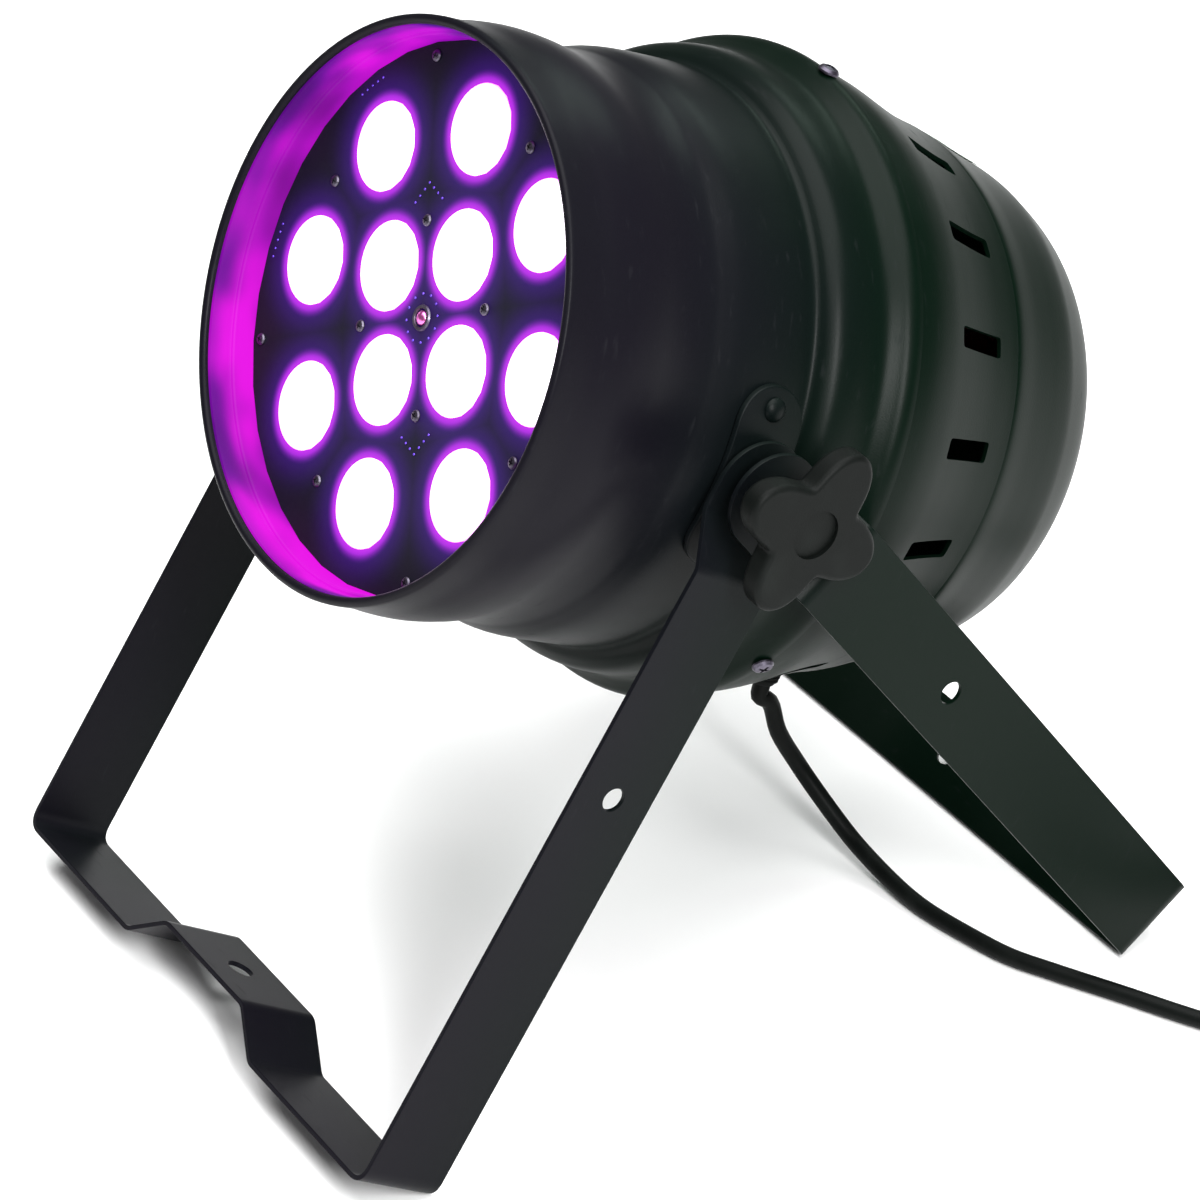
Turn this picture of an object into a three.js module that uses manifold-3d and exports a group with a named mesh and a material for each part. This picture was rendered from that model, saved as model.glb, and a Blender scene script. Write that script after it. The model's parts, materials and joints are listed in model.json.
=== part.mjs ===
// A short par can stage light on a folding double bracket, in millimetres, +Z up.
// The can has a frame of its own: the pivot axis is X, the front looks along -Y and the top is +Z.
// Stations along the can are given as y, so a negative station lies ahead of the pivot axis.
import * as THREE from 'three';
import { mergeVertices } from 'three/addons/utils/BufferGeometryUtils.js';
import Module from 'manifold-3d';

const wasm = await Module();
wasm.setup();

// ---- Driving sizes ----
const gap = 0.3;                    // between pieces that touch
const wall = 2;                     // sheet of the can
const sides = 36;                   // facets around the can

const lipRadius = 108;              // outside of the rolled front edge
const lipStation = -97;             // its foremost point
const lipRoll = 1.9;                // radius of the roll
const waistDrop = 1.2;              // the waist is this much smaller than the lip
const frontBandRise = 2.2;
const middleBandRise = 3.4;
const rearBandRise = 12.6;
const flangeRise = 19.6;
const shoulderGap = 0.8;            // from the mount plates to the ends of the middle band
const flangeStation = 52;

const drumFrontStation = 51;
const drumEndStation = 121.5;
const drumEndRise = 3;
const slotCount = 18;
const slotStation = 96;
const slotLength = 27;
const slotWidth = 8;
const slotTurn = 13;                // degrees, from the +X side to the nearest slot's middle

const backStation = 192;            // flat back of the cap
const backRadius = 72;
const backOpening = 66;             // radius of the hole behind the rear plate
const backPlateSheet = 2;

const panelStation = -75;           // front face of the lens panel
const panelRadius = lipRadius - 5.8;
const panelSheet = 2;
const panelTurn = 30;               // degrees, the lens pattern's turn about the can's axis
const lensRadius = 16.9;
const lensBulge = 3.4;
const lensDepth = 9;
const outerLensCircle = 72;
const innerLensCircle = 30;
const boardStation = -61;
const boardRadius = panelRadius - 4.2;
const boardSheet = 1.6;
const chipSize = 7;                 // square block behind each lens
const sinkRadius = boardRadius - 10;
const sinkBase = 5;
const finSheet = 2.4;
const finHeight = 34;
const finPitch = 15;
const finCount = 9;
const supplyStation = 70;           // middle of the power supply
const supplyTray = { width: 120, depth: 60, height: 3, middle: -46 };
const supplyBlock = { width: 112, depth: 52, height: 38, middle: -26 };

const stripWidth = 37.2;            // bracket strip
const stripSheet = 2;
const frontLegLength = 292.8;       // pivot to the outside of the front bracket's crossbar
const rearLegLength = 312;
const legSplay = 1.8;               // each leg leans out this much at its foot
const frontLegAngle = 32;           // degrees from the vertical
const canTilt = 24.3;               // degrees, front upwards
const crossbarRise = 14.4;          // the front crossbar's raised middle
const crossbarFlat = 30;            // half its flat length
const crossbarSlope = 19;           // length of each slope beside it
const joggleEnd = 32;               // below the pivot
const bendRadius = 7;
const cornerRadius = 7;
const legHoleDistance = 123;
const legHoleRadius = 4.6;
const hookHoleRadius = 5.3;
const rearHookStation = 6;          // the rear bracket's hook hole, off the middle towards +X
const flangeClearance = 1.4;
const bracketClearance = 11.2;      // between the two brackets' lower legs

const studRadius = 4;
const boltClearance = 0.4;
const plateWidth = 30;
const plateHeight = 72;
const plateSheet = 2.5;
const rivetDistance = 27;
const washerRadius = 10;
const innerWasherSheet = 2.6;
const spacerSheet = 7;
const outerWasherSheet = 1.6;
const knobLobe = 32.5;
const knobValley = 19;
const knobLobes = 4;
const knobTurn = 15;                // degrees, from the can's axis to the nearest lobe
const knobPoints = 32;              // around the knob's outline
const knobDisc = 10;                // thickness of the lobed part
const knobClearance = 0.8;          // from the lobed part to the rear bracket's legs

const buttonRadius = 3.5;
const buttonPitch = 15;
const buttonCount = 4;
const buttonHeight = 5;
const displayWidth = 44;
const displayHeight = 20;
const displayRise = 30;             // its centre above the can's axis
const socketRadius = 12;
const socketFlange = 15;
const socketSpread = 27;
const socketLower = 26;             // sockets' centres below the can's axis
const socketDepth = 14;             // behind the plate's face
const socketLip = 2;                // thickness of the flange
const socketBore = 9.6;
const socketFloor = 10;             // depth of the bore
const insertRadius = 8.2;
const contactCircle = 4.2;          // radius of the circle the three contacts stand on
const contactLength = 8;
const pinRadius = 1.2;
const pinTop = -4.5;                // from the plate's face
const holeRadius = 1.4;
const labelSheet = 0.4;
const labelClearance = 0.4;
const labelWidth = 40;
const labelStation = 145;
const labelTurn = 11;               // degrees from the top towards the far side

const cordRadius = 3.6;
const cordSides = 8;
const cordLead = 6;                 // straight length beyond the gland and before the plug
const glandStation = 150;
const glandTurn = -86.5;            // degrees about the can's axis from +X
const glandLength = 20;
const coilInner = 37.4;             // radius of the inner column of turns
const coilCentre = new THREE.Vector3(218, 233.7, 0);
const plugRadius = 18.5;
const plugLength = 49;
const pinSpread = 9.5;              // each plug pin's distance from the plug's axis
const plugPinRadius = 2.4;
const plugPinLength = 19;
const plugAxisHeight = 18.6;

// ---- Finishes ----
const finish = (color, roughness, metalness) => ({ color, roughness, metalness });
const blackPaint = finish(0x17191b, 0.38, 0.25);
const blackPanel = finish(0x15151c, 0.5, 0.1);
const zinc = finish(0xb9bcc0, 0.3, 1);
const aluminium = finish(0xa9abae, 0.45, 1);
const clearLens = finish(0xf4f2ff, 0.1, 0);
const blackPlastic = finish(0x141516, 0.5, 0);
const blackRubber = finish(0x18191a, 0.65, 0);
const boardGreen = finish(0x1d3b2a, 0.5, 0.1);
const labelWhite = finish(0xe6ebe6, 0.5, 0);
const smokedWindow = finish(0x240d10, 0.15, 0);

// ---- Solids ----
function solidOf(geometry) {
  const bare = geometry.clone();
  bare.deleteAttribute('normal');
  bare.deleteAttribute('uv');
  const merged = mergeVertices(bare, 1e-4);
  const vertProperties = new Float32Array(merged.attributes.position.array);
  const triVerts = new Uint32Array(merged.index.array);
  return new wasm.Manifold(new wasm.Mesh({ numProp: 3, vertProperties, triVerts }));
}

function geometryOf(solid) {
  const mesh = solid.getMesh();
  const geometry = new THREE.BufferGeometry();
  geometry.setAttribute('position', new THREE.BufferAttribute(new Float32Array(mesh.vertProperties), 3));
  geometry.setIndex(new THREE.BufferAttribute(new Uint32Array(mesh.triVerts), 1));
  geometry.computeVertexNormals();
  return geometry;
}

function cut(geometry, ...tools) {
  return geometryOf(tools.reduce((solid, tool) => solid.subtract(solidOf(tool)), solidOf(geometry)));
}

function join(geometry, ...others) {
  return geometryOf(others.reduce((solid, other) => solid.add(solidOf(other)), solidOf(geometry)));
}

function common(geometry, other) {
  return geometryOf(solidOf(geometry).intersect(solidOf(other)));
}

function piece(name, look, geometry) {
  const mesh = new THREE.Mesh(geometry, new THREE.MeshStandardMaterial(look));
  mesh.name = name;
  return mesh;
}

function boxAt(width, depth, height, x, y, z) {
  return new THREE.BoxGeometry(width, depth, height).translate(x, y, z);
}

// A solid of revolution about Y from [radius, y] points that start and end on the axis.
function turned(profile, facets = sides) {
  return new THREE.LatheGeometry(profile.map(([radius, y]) => new THREE.Vector2(radius, y)), facets);
}

// A ring about Y from a closed [radius, y] profile, its outer side running towards +Y.
function turnedRing(profile, facets = sides) {
  return turned([...profile, profile[0]], facets);
}

// A sheet about Y: the outline [radius, y] runs towards +Y, and the inside follows it.
function turnedSheet(outline, sheet, facets = sides) {
  const inside = outline.map(([radius, y]) => [radius - sheet, y]).reverse();
  return turnedRing([...outline, ...inside], facets);
}

function washer(outer, inner, thickness, facets = 16) {
  return turnedRing([[inner, 0], [outer, 0], [outer, thickness], [inner, thickness]], facets);
}

function rod(radius, length, facets = 16) {
  return new THREE.CylinderGeometry(radius, radius, length, facets);
}

// Turn a Y-axis solid to run along a direction from a point.
function aimed(geometry, from, direction) {
  const up = new THREE.Vector3(0, 1, 0);
  const turn = new THREE.Quaternion().setFromUnitVectors(up, direction.clone().normalize());
  return geometry.applyQuaternion(turn).translate(from.x, from.y, from.z);
}

// A rod through a point, along a direction, reaching half its length each way.
function drill(radius, length, at, direction, facets = 16) {
  return aimed(rod(radius, length, facets), at, direction);
}

// The radial direction of the can at an angle from +X towards +Z.
function radial(degrees) {
  const angle = THREE.MathUtils.degToRad(degrees);
  return new THREE.Vector3(Math.cos(angle), 0, Math.sin(angle));
}

function canPoint(degrees, radius, station) {
  const point = radial(degrees).multiplyScalar(radius);
  point.y = station;
  return point;
}

// ---- The can's outline ----
function shellOutline() {
  const band = (rise, station) => [lipRadius + rise, station];
  return [
    band(0, lipStation + 4.5),
    band(1.6, -75),
    band(frontBandRise, -66),
    band(1.2, -56),
    band(-waistDrop, -42),
    band(-waistDrop + 0.6, -31),
    band(2.4, -20),
    band(middleBandRise, -(plateWidth / 2 + shoulderGap)),
    band(middleBandRise, plateWidth / 2 + shoulderGap),
    band((middleBandRise + rearBandRise) / 2, 22.8),
    band(rearBandRise, 30.5),
    band(rearBandRise + 0.2, 39),
    band(flangeRise - 3.6, 46),
    band(flangeRise, flangeStation),
    band(flangeRise - 0.2, flangeStation + 3),
  ];
}

function shellGeometry() {
  const outline = shellOutline();
  const rollCentre = [lipRadius - lipRoll, lipStation + lipRoll];
  const roll = [200, 250, 290, 340].map((degrees) => {
    const angle = THREE.MathUtils.degToRad(degrees);
    return [rollCentre[0] + lipRoll * Math.cos(angle), rollCentre[1] + lipRoll * Math.sin(angle)];
  });
  const followed = outline.filter(([, y], index) => index % 2 === 0 || y > -plateWidth);
  const inside = followed.map(([radius, y]) => [radius - wall, y]).reverse();
  const shell = turnedRing([...roll, ...outline, ...inside]);
  return cut(shell, ...pivotDrills(), ...rivetDrills(), ...flangeDrills());
}

const drumFrontRadius = lipRadius + flangeRise - wall - 1.4;
const drumEndRadius = lipRadius + drumEndRise;

function drumOutline() {
  return [
    [drumFrontRadius, drumFrontStation],
    [drumFrontRadius, 66],
    [drumFrontRadius - 2, 76],
    [drumFrontRadius - 8, slotStation],
    [drumEndRadius + 1.4, 112],
    [drumEndRadius, drumEndStation],
  ];
}

function drumGeometry() {
  const slots = Array.from({ length: slotCount }, (_, index) => {
    const turn = slotTurn + (index * 360) / slotCount;
    const slot = boxAt(30, slotLength, slotWidth, lipRadius + 8, slotStation, 0);
    return slot.rotateY(-THREE.MathUtils.degToRad(turn));
  });
  return cut(turnedSheet(drumOutline(), wall), ...slots, ...flangeDrills());
}

const capFrontStation = drumEndStation + gap;
const glandFoot = [[drumEndRadius - 5.5, 140], [drumEndRadius - 9.2, 160]];

function capOutline() {
  return [
    [drumEndRadius - 0.6, capFrontStation],
    [drumEndRadius - 3.2, 132],
    ...glandFoot,
    [drumEndRadius - 14.6, 171],
    [drumEndRadius - 20.4, 180],
    [backRadius + 12, 187],
    [backRadius + 5, backStation - 1.2],
    [backRadius, backStation],
  ];
}

function capGeometry() {
  const outline = capOutline();
  const inside = outline.slice(0, -1).filter((_, index) => index % 2 === 0).map(([radius, y], index) => {
    return [radius - wall, y - (index > 0 ? 0.6 : 0)];
  }).reverse();
  const rim = [[backOpening, backStation], [backOpening, backStation - wall]];
  const shape = turnedRing([...outline, ...rim, ...inside]);
  return cut(shape, drill(6 + boltClearance, 24, glandSeat(), glandDirection()));
}

// ---- Fasteners through the can ----
const pivotSides = [['near', 1], ['far', -1]];
const flangeScrewTurns = [85, 205, 325];

function pivotDrills() {
  return [drill(studRadius + boltClearance, 400, new THREE.Vector3(), new THREE.Vector3(1, 0, 0))];
}

function rivetTurn(height) {
  return THREE.MathUtils.radToDeg(Math.asin(height / (lipRadius + middleBandRise)));
}

function rivetPlaces() {
  const turn = rivetTurn(rivetDistance);
  return [
    ['near', turn, 'upper'],
    ['near', -turn, 'lower'],
    ['far', 180 - turn, 'upper'],
    ['far', 180 + turn, 'lower'],
  ];
}

function rivetDrills() {
  return rivetPlaces().map(([, turn]) => drill(2.5, 20, canPoint(turn, lipRadius, 0), radial(turn), 12));
}

function flangeDrills() {
  return flangeScrewTurns.map((turn) => {
    return drill(2.3, 24, canPoint(turn, lipRadius + flangeRise, flangeStation), radial(turn), 12);
  });
}

function flangeScrews() {
  const head = lipRadius + flangeRise + gap;
  const profile = [[0, -6], [1.9, -6], [1.9, 0], [4.2, 0], [3.4, 1.7], [0, 2.5]];
  return flangeScrewTurns.map((turn, index) => {
    const screw = aimed(turned(profile, 12), canPoint(turn, head, flangeStation), radial(turn));
    return piece(`flange_screw_${index + 1}`, zinc, screw);
  });
}

// ---- Lens panel and what stands behind it ----
function lensPlaces() {
  const outer = Array.from({ length: 8 }, (_, index) => [outerLensCircle, 22.5 + index * 45]);
  const inner = Array.from({ length: 4 }, (_, index) => [innerLensCircle, 45 + index * 90]);
  return [...outer, ...inner].map(([circle, degrees]) => canPoint(degrees + panelTurn, circle, 0));
}

function sleeveGeometry() {
  const outer = lipRadius - wall - gap;
  const front = lipStation + 5;
  const step = panelStation - 9;
  const back = panelStation + 4;
  const bore = panelRadius + gap;
  const mouth = bore + 1.5;
  return turnedRing([[mouth, front], [outer, front], [outer, back], [bore, back], [bore, step], [mouth, step]]);
}

function panelGeometry() {
  const disc = turned([[0, panelStation], [panelRadius, panelStation],
    [panelRadius, panelStation + panelSheet], [0, panelStation + panelSheet]]);
  const holes = lensPlaces().map((place) => {
    return rod(lensRadius + gap, 10).translate(place.x, panelStation, place.z);
  });
  return cut(disc, ...holes, rod(3.3, 10).translate(0, panelStation, 0));
}

function lenses() {
  const profile = [[0, -lensBulge], [10, -lensBulge + 1.2], [lensRadius, -0.4],
    [lensRadius, panelSheet], [11, lensDepth], [0, lensDepth]];
  return lensPlaces().map((place, index) => {
    const number = String(index + 1).padStart(2, '0');
    const lens = turned(profile, 16).translate(place.x, panelStation, place.z);
    return piece(`lens_${number}`, clearLens, lens);
  });
}

function boardGeometry() {
  const chipHeight = boardStation - (panelStation + lensDepth) - gap;
  const board = rod(boardRadius, boardSheet, 28).translate(0, boardStation + boardSheet / 2, 0);
  const chips = lensPlaces().map((place) => {
    return boxAt(chipSize, chipHeight + 1, chipSize, place.x, boardStation - chipHeight / 2 + 0.5, place.z);
  });
  return join(board, ...chips);
}

function heatSinkGeometry() {
  const front = boardStation + boardSheet + gap;
  const base = rod(sinkRadius, sinkBase, 28).translate(0, front + sinkBase / 2, 0);
  const finReach = sinkRadius - 8;
  const fins = Array.from({ length: finCount }, (_, index) => {
    const x = (index - (finCount - 1) / 2) * finPitch;
    const width = 2 * Math.sqrt(finReach ** 2 - x ** 2);
    return boxAt(finSheet, finHeight, width, x, front + sinkBase - 1 + finHeight / 2, 0);
  });
  return join(base, ...fins);
}

function powerSupplyGeometry() {
  const boxes = [supplyTray, supplyBlock].map(({ width, depth, height, middle }) => {
    return boxAt(width, depth, height, 0, supplyStation, middle);
  });
  return join(...boxes);
}

// ---- Back plate with its controls ----
const plateStation = backStation + gap;
const plateFace = plateStation + backPlateSheet;

function buttonX(index) {
  return (index - (buttonCount - 1) / 2) * buttonPitch;
}

function backPlateGeometry() {
  const disc = turned([[0, plateStation], [backRadius - 1, plateStation],
    [backRadius - 1, plateFace], [0, plateFace]]);
  const window = boxAt(displayWidth + 2 * gap, 20, displayHeight + 2 * gap, 0, plateFace, displayRise);
  const buttonHoles = Array.from({ length: buttonCount }, (_, index) => {
    return rod(buttonRadius + gap, 20).translate(buttonX(index), plateFace, buttonHeight);
  });
  const socketHoles = [-1, 1].map((side) => {
    return rod(socketRadius + gap, 20, 16).translate(side * socketSpread, plateFace, -socketLower);
  });
  return cut(disc, window, ...buttonHoles, ...socketHoles);
}

function menuButtons() {
  const profile = [[0, -7], [buttonRadius + 1.5, -7], [buttonRadius + 1.5, -5], [buttonRadius, -5],
    [buttonRadius, 2.2], [buttonRadius - 0.7, 2.9], [0, 2.9]];
  return Array.from({ length: buttonCount }, (_, index) => {
    const button = turned(profile, 12).translate(buttonX(index), plateFace, buttonHeight);
    return piece(`menu_button_${index + 1}`, blackPlastic, button);
  });
}

function socketShell(x) {
  const cup = turned([[0, -socketDepth], [socketRadius, -socketDepth], [socketRadius, gap],
    [socketFlange, gap], [socketFlange, socketLip], [socketBore, socketLip],
    [socketBore, -socketFloor], [0, -socketFloor]], 16);
  return cup.translate(x, plateFace, -socketLower);
}

function contactRods(x, radius, top) {
  return [-90, 30, 150].map((degrees) => {
    const spot = canPoint(degrees, contactCircle, 0);
    const middle = plateFace + top - contactLength / 2;
    return rod(radius, contactLength, 8).translate(x + spot.x, middle, spot.z - socketLower);
  });
}

function dmxInputGeometry() {
  return join(socketShell(-socketSpread), ...contactRods(-socketSpread, pinRadius, pinTop));
}

function dmxOutputGeometry() {
  const insert = rod(insertRadius, socketFloor + socketLip, 16)
    .translate(socketSpread, plateFace - 4.5, -socketLower);
  return cut(join(socketShell(socketSpread), insert), ...contactRods(socketSpread, holeRadius, 4));
}

function labelGeometry() {
  const rise = labelClearance + labelSheet;
  const outline = capOutline().slice(1, 4).map(([radius, y]) => [radius + rise, y]);
  const sheet = turnedSheet(outline, labelSheet);
  const patch = boxAt(labelWidth, 60, 60, 0, labelStation, 120).rotateY(-THREE.MathUtils.degToRad(labelTurn));
  return common(sheet, patch);
}

// ---- Cable gland ----
function glandSlope() {
  const [[firstRadius, firstStation], [lastRadius, lastStation]] = glandFoot;
  return (firstRadius - lastRadius) / (lastStation - firstStation);
}

function glandDirection() {
  const direction = radial(glandTurn);
  direction.y = glandSlope();
  return direction.normalize();
}

function glandSeat() {
  const [[firstRadius, firstStation]] = glandFoot;
  const radius = firstRadius - glandSlope() * (glandStation - firstStation);
  return canPoint(glandTurn, radius, glandStation);
}

function glandGeometry() {
  const profile = [[0, -3], [6, -3], [6, gap], [10.5, gap], [10.5, 3], [9, 3.4], [9, 10], [8, 10.4],
    [7.6, 16], [5.4, glandLength], [0, glandLength]];
  return aimed(turned(profile, 12), glandSeat(), glandDirection());
}

// ---- Pivots, one on each side of the can ----
const bandRadius = lipRadius + middleBandRise;
const plateInner = bandRadius + gap;
const frontUpperInner = plateInner + plateSheet + innerWasherSheet + 2 * gap;
const frontUpperOuter = frontUpperInner + stripSheet;
const rearUpperInner = frontUpperOuter + spacerSheet + 2 * gap;
const rearUpperOuter = rearUpperInner + stripSheet;
const frontLowerInner = lipRadius + flangeRise + flangeClearance;
const frontLowerOuter = frontLowerInner + stripSheet;
const rearLowerInner = frontLowerOuter + bracketClearance;
const rearLowerOuter = rearLowerInner + stripSheet;
const outerWasherFace = rearUpperOuter + gap;
const knobFace = outerWasherFace + outerWasherSheet + gap;
const lobesFace = rearLowerOuter + knobClearance;
const studEnd = lobesFace + knobDisc - 4;
const joggleStart = washerRadius + 2.5;

function outlineStadium(width, height) {
  const half = width / 2;
  const straight = height / 2 - half;
  const shape = new THREE.Shape();
  shape.absarc(0, straight, half, 0, Math.PI);
  shape.absarc(0, -straight, half, Math.PI, 2 * Math.PI);
  return shape;
}

function mountPlateGeometry() {
  const outer = plateInner + plateSheet;
  const band = turnedSheet([[outer, -plateWidth], [outer, plateWidth]], plateSheet);
  const stadium = new THREE.ExtrudeGeometry(outlineStadium(plateWidth, plateHeight),
    { depth: 200, bevelEnabled: false, curveSegments: 8 });
  stadium.rotateY(Math.PI / 2).rotateX(Math.PI / 2);
  return cut(common(band, stadium), ...pivotDrills(), ...rivetDrills());
}

function mountRivets() {
  const profile = [[0, -5], [2.2, -5], [2.2, 0], [4.6, 0], [3.6, 1.7], [0, 2.5]];
  return rivetPlaces().map(([side, turn, level]) => {
    const seat = canPoint(turn, plateInner + plateSheet + gap / 2, 0);
    return piece(`${side}_rivet_${level}`, blackPaint, aimed(turned(profile, 12), seat, radial(turn)));
  });
}

// Pieces strung on the +X pivot, which are turned half a turn about Z for the -X side.
function pivotPieces() {
  const outwards = new THREE.Vector3(1, 0, 0);
  const at = (x) => new THREE.Vector3(x, 0, 0);
  const bore = studRadius + boltClearance;
  const headFace = lipRadius + middleBandRise - wall - 1;
  const stud = turned([[0, headFace - 3], [9, headFace - 3], [9, headFace], [studRadius, headFace],
    [studRadius, studEnd], [0, studEnd]], 16);
  return [
    ['mount_plate', blackPaint, mountPlateGeometry()],
    ['pivot_stud', zinc, aimed(stud, at(0), outwards)],
    ['inner_washer', zinc, aimed(washer(washerRadius, bore, innerWasherSheet),
      at(frontUpperInner - gap - innerWasherSheet), outwards)],
    ['spacer', blackPlastic, aimed(washer(washerRadius, bore, spacerSheet), at(frontUpperOuter + gap), outwards)],
    ['outer_washer', zinc, aimed(washer(washerRadius, bore, outerWasherSheet), at(outerWasherFace), outwards)],
    ['knob', blackPlastic, knobGeometry()],
  ];
}

function knobOutline() {
  const points = Array.from({ length: knobPoints }, (_, index) => {
    const angle = (index / knobPoints) * 2 * Math.PI;
    const lobe = 0.5 + 0.5 * Math.cos(knobLobes * angle);
    const radius = knobValley + (knobLobe - knobValley) * lobe ** 0.8;
    return new THREE.Vector2(radius * Math.cos(angle), radius * Math.sin(angle));
  });
  return new THREE.Shape(points);
}

function knobGeometry() {
  const bevel = 2;
  const star = new THREE.ExtrudeGeometry(knobOutline(), { depth: knobDisc - 2 * bevel, bevelEnabled: true,
    bevelThickness: bevel, bevelSize: bevel, bevelOffset: -bevel, bevelSegments: 1 });
  star.rotateZ(-THREE.MathUtils.degToRad(knobTurn)).rotateY(Math.PI / 2).rotateX(Math.PI / 2);
  star.translate(lobesFace + bevel, 0, 0);
  const hubLength = lobesFace + 2 * bevel - knobFace;
  const hub = rod(washerRadius, hubLength, 20).rotateZ(Math.PI / 2).translate(knobFace + hubLength / 2, 0, 0);
  const bore = drill(studRadius + boltClearance, 2 * (studEnd + 1 - knobFace), new THREE.Vector3(knobFace, 0, 0),
    new THREE.Vector3(1, 0, 0));
  return cut(join(star, hub), bore);
}

// ---- Brackets ----
// Replace each inner corner of a line with a round bend.
function roundedLine(points, radii, steps = 3) {
  const line = [points[0]];
  points.slice(1, -1).forEach((corner, index) => {
    const before = points[index].clone().sub(corner).normalize();
    const after = points[index + 2].clone().sub(corner).normalize();
    const half = Math.acos(THREE.MathUtils.clamp(before.dot(after), -1, 1)) / 2;
    const reach = radii[index] / Math.tan(half);
    const start = corner.clone().addScaledVector(before, reach);
    const end = corner.clone().addScaledVector(after, reach);
    line.push(...new THREE.QuadraticBezierCurve(start, corner, end).getPoints(steps));
  });
  return [...line, points[points.length - 1]];
}

// The closed outline of a strip whose middle line is given.
function stripShape(line, sheet) {
  const offset = (side) => line.map((point, index) => {
    const previous = line[Math.max(index - 1, 0)];
    const next = line[Math.min(index + 1, line.length - 1)];
    const along = next.clone().sub(previous).normalize();
    return new THREE.Vector2(point.x - side * along.y * sheet / 2, point.y + side * along.x * sheet / 2);
  });
  return new THREE.Shape([...offset(1), ...offset(-1).reverse()]);
}

// Half the middle line of a bracket hanging straight down from the pivot axis: [x, z, bend radius].
function bracketHalf(upperInner, lowerInner, length, rise) {
  const upper = upperInner + stripSheet / 2;
  const lower = lowerInner + stripSheet / 2;
  const floor = -(length - stripSheet / 2);
  const legs = [
    [upper, stripWidth / 2 + 2, 0],
    [upper, -joggleStart, bendRadius],
    [lower, -joggleEnd, bendRadius],
    [lower + legSplay, floor, cornerRadius],
  ];
  const middle = [
    [crossbarFlat + crossbarSlope, floor, bendRadius],
    [crossbarFlat, floor + rise, bendRadius],
  ];
  return rise > 0 ? [...legs, ...middle] : legs;
}

function bracketGeometry({ upperInner, lowerInner, length, rise, hookStation }) {
  const half = bracketHalf(upperInner, lowerInner, length, rise);
  const mirrored = half.map(([x, z, radius]) => [-x, z, radius]).reverse();
  const corners = [...half, ...mirrored];
  const points = corners.map(([x, z]) => new THREE.Vector2(x, z));
  const radii = corners.slice(1, -1).map((corner) => corner[2]);
  const strip = new THREE.ExtrudeGeometry(stripShape(roundedLine(points, radii), stripSheet),
    { depth: stripWidth, bevelEnabled: false });
  strip.translate(0, 0, -stripWidth / 2).rotateX(Math.PI / 2);
  const ends = new THREE.ExtrudeGeometry(outlineStadium(stripWidth, 2 * length + 40),
    { depth: 400, bevelEnabled: false, curveSegments: 7 });
  ends.rotateX(Math.PI / 2).rotateZ(Math.PI / 2).translate(-200, 0, -length - 20 + stripWidth / 2);
  const across = new THREE.Vector3(1, 0, 0);
  const legHole = drill(legHoleRadius, 400, new THREE.Vector3(0, 0, -legHoleDistance), across);
  const hookPlace = new THREE.Vector3(hookStation, 0, rise - length);
  const hookHole = drill(hookHoleRadius, 6 * stripSheet, hookPlace, new THREE.Vector3(0, 0, 1));
  return cut(common(strip, ends), ...pivotDrills(), legHole, hookHole);
}

const pivotHeight = frontLegLength * Math.cos(THREE.MathUtils.degToRad(frontLegAngle))
  + (stripWidth / 2) * Math.sin(THREE.MathUtils.degToRad(frontLegAngle));

// The rear leg's angle from the vertical, with its lower edge on the same floor as the front leg's.
function rearLegAngle() {
  const reach = Math.hypot(rearLegLength, stripWidth / 2);
  return Math.atan2(stripWidth / 2, rearLegLength) + Math.acos(pivotHeight / reach);
}

// ---- Power cord ----
// Stretch on the floor and the drop to it, measured from the point of the floor below the pivot axis.
const cordRoute = [
  [8.6, 92.6, 73],
  [9, 97.6, 57],
  [10.5, 106.6, 40],
  [18.5, 112, 28],
  [34.9, 118.4, 13],
  [46.9, 120.1, 8.5],
  [59.2, 121.5, 5.4],
  [72.4, 122.2, 4.2],
  [84.2, 123.5, 3.9],
  [105.2, 128, 3.9],
  [124.3, 133.6, 3.9],
  [139.8, 141.8, 3.9],
  [154.7, 150.3, 3.9],
  [169.4, 158.8, 3.9],
  [184.3, 167, 3.9],
  [197.8, 174.8, 3.9],
  [211.4, 182.6, 3.9],
];

const tailRoute = [
  [212, 284.9, 10.1],
  [200.6, 291.7, 11.6],
];
const plugStart = new THREE.Vector3(176, 306.2, plugAxisHeight);
const plugDirection = new THREE.Vector3(-0.86, 0.51, 0);

function cordTube(points, steps) {
  const path = new THREE.CatmullRomCurve3(points, false, 'centripetal');
  const section = new THREE.Shape();
  section.absarc(0, 0, cordRadius, 0, 2 * Math.PI);
  return new THREE.ExtrudeGeometry(section, { steps, extrudePath: path, curveSegments: cordSides / 2 });
}

function coilGeometry() {
  const radius = cordRadius;
  const outer = coilInner + 2 * radius;
  const height = 2 * radius + Math.sqrt(3) * radius;
  const ring = turnedRing([[coilInner - radius, gap], [outer + radius, gap], [outer + radius, 2 * radius],
    [outer, height], [coilInner, height], [coilInner - radius, 2 * radius]], 28);
  return ring.rotateX(Math.PI / 2).translate(coilCentre.x, coilCentre.y, 0);
}

function plugGeometry() {
  const body = turned([[0, 0], [5.5, 0], [6.4, 12], [9, 22], [14, 29], [plugRadius, 31], [plugRadius, plugLength - 1],
    [plugRadius - 1, plugLength], [0, plugLength]], 16);
  const pins = [-1, 1].map((side) => {
    const middle = plugLength + (plugPinLength - 3) / 2;
    return rod(plugPinRadius, plugPinLength + 3, 12).translate(side * pinSpread, middle, 0);
  });
  return aimed(join(body, ...pins), plugStart, plugDirection);
}

// ---- Assembly ----
const light = new THREE.Group();
light.position.z = pivotHeight;

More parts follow.
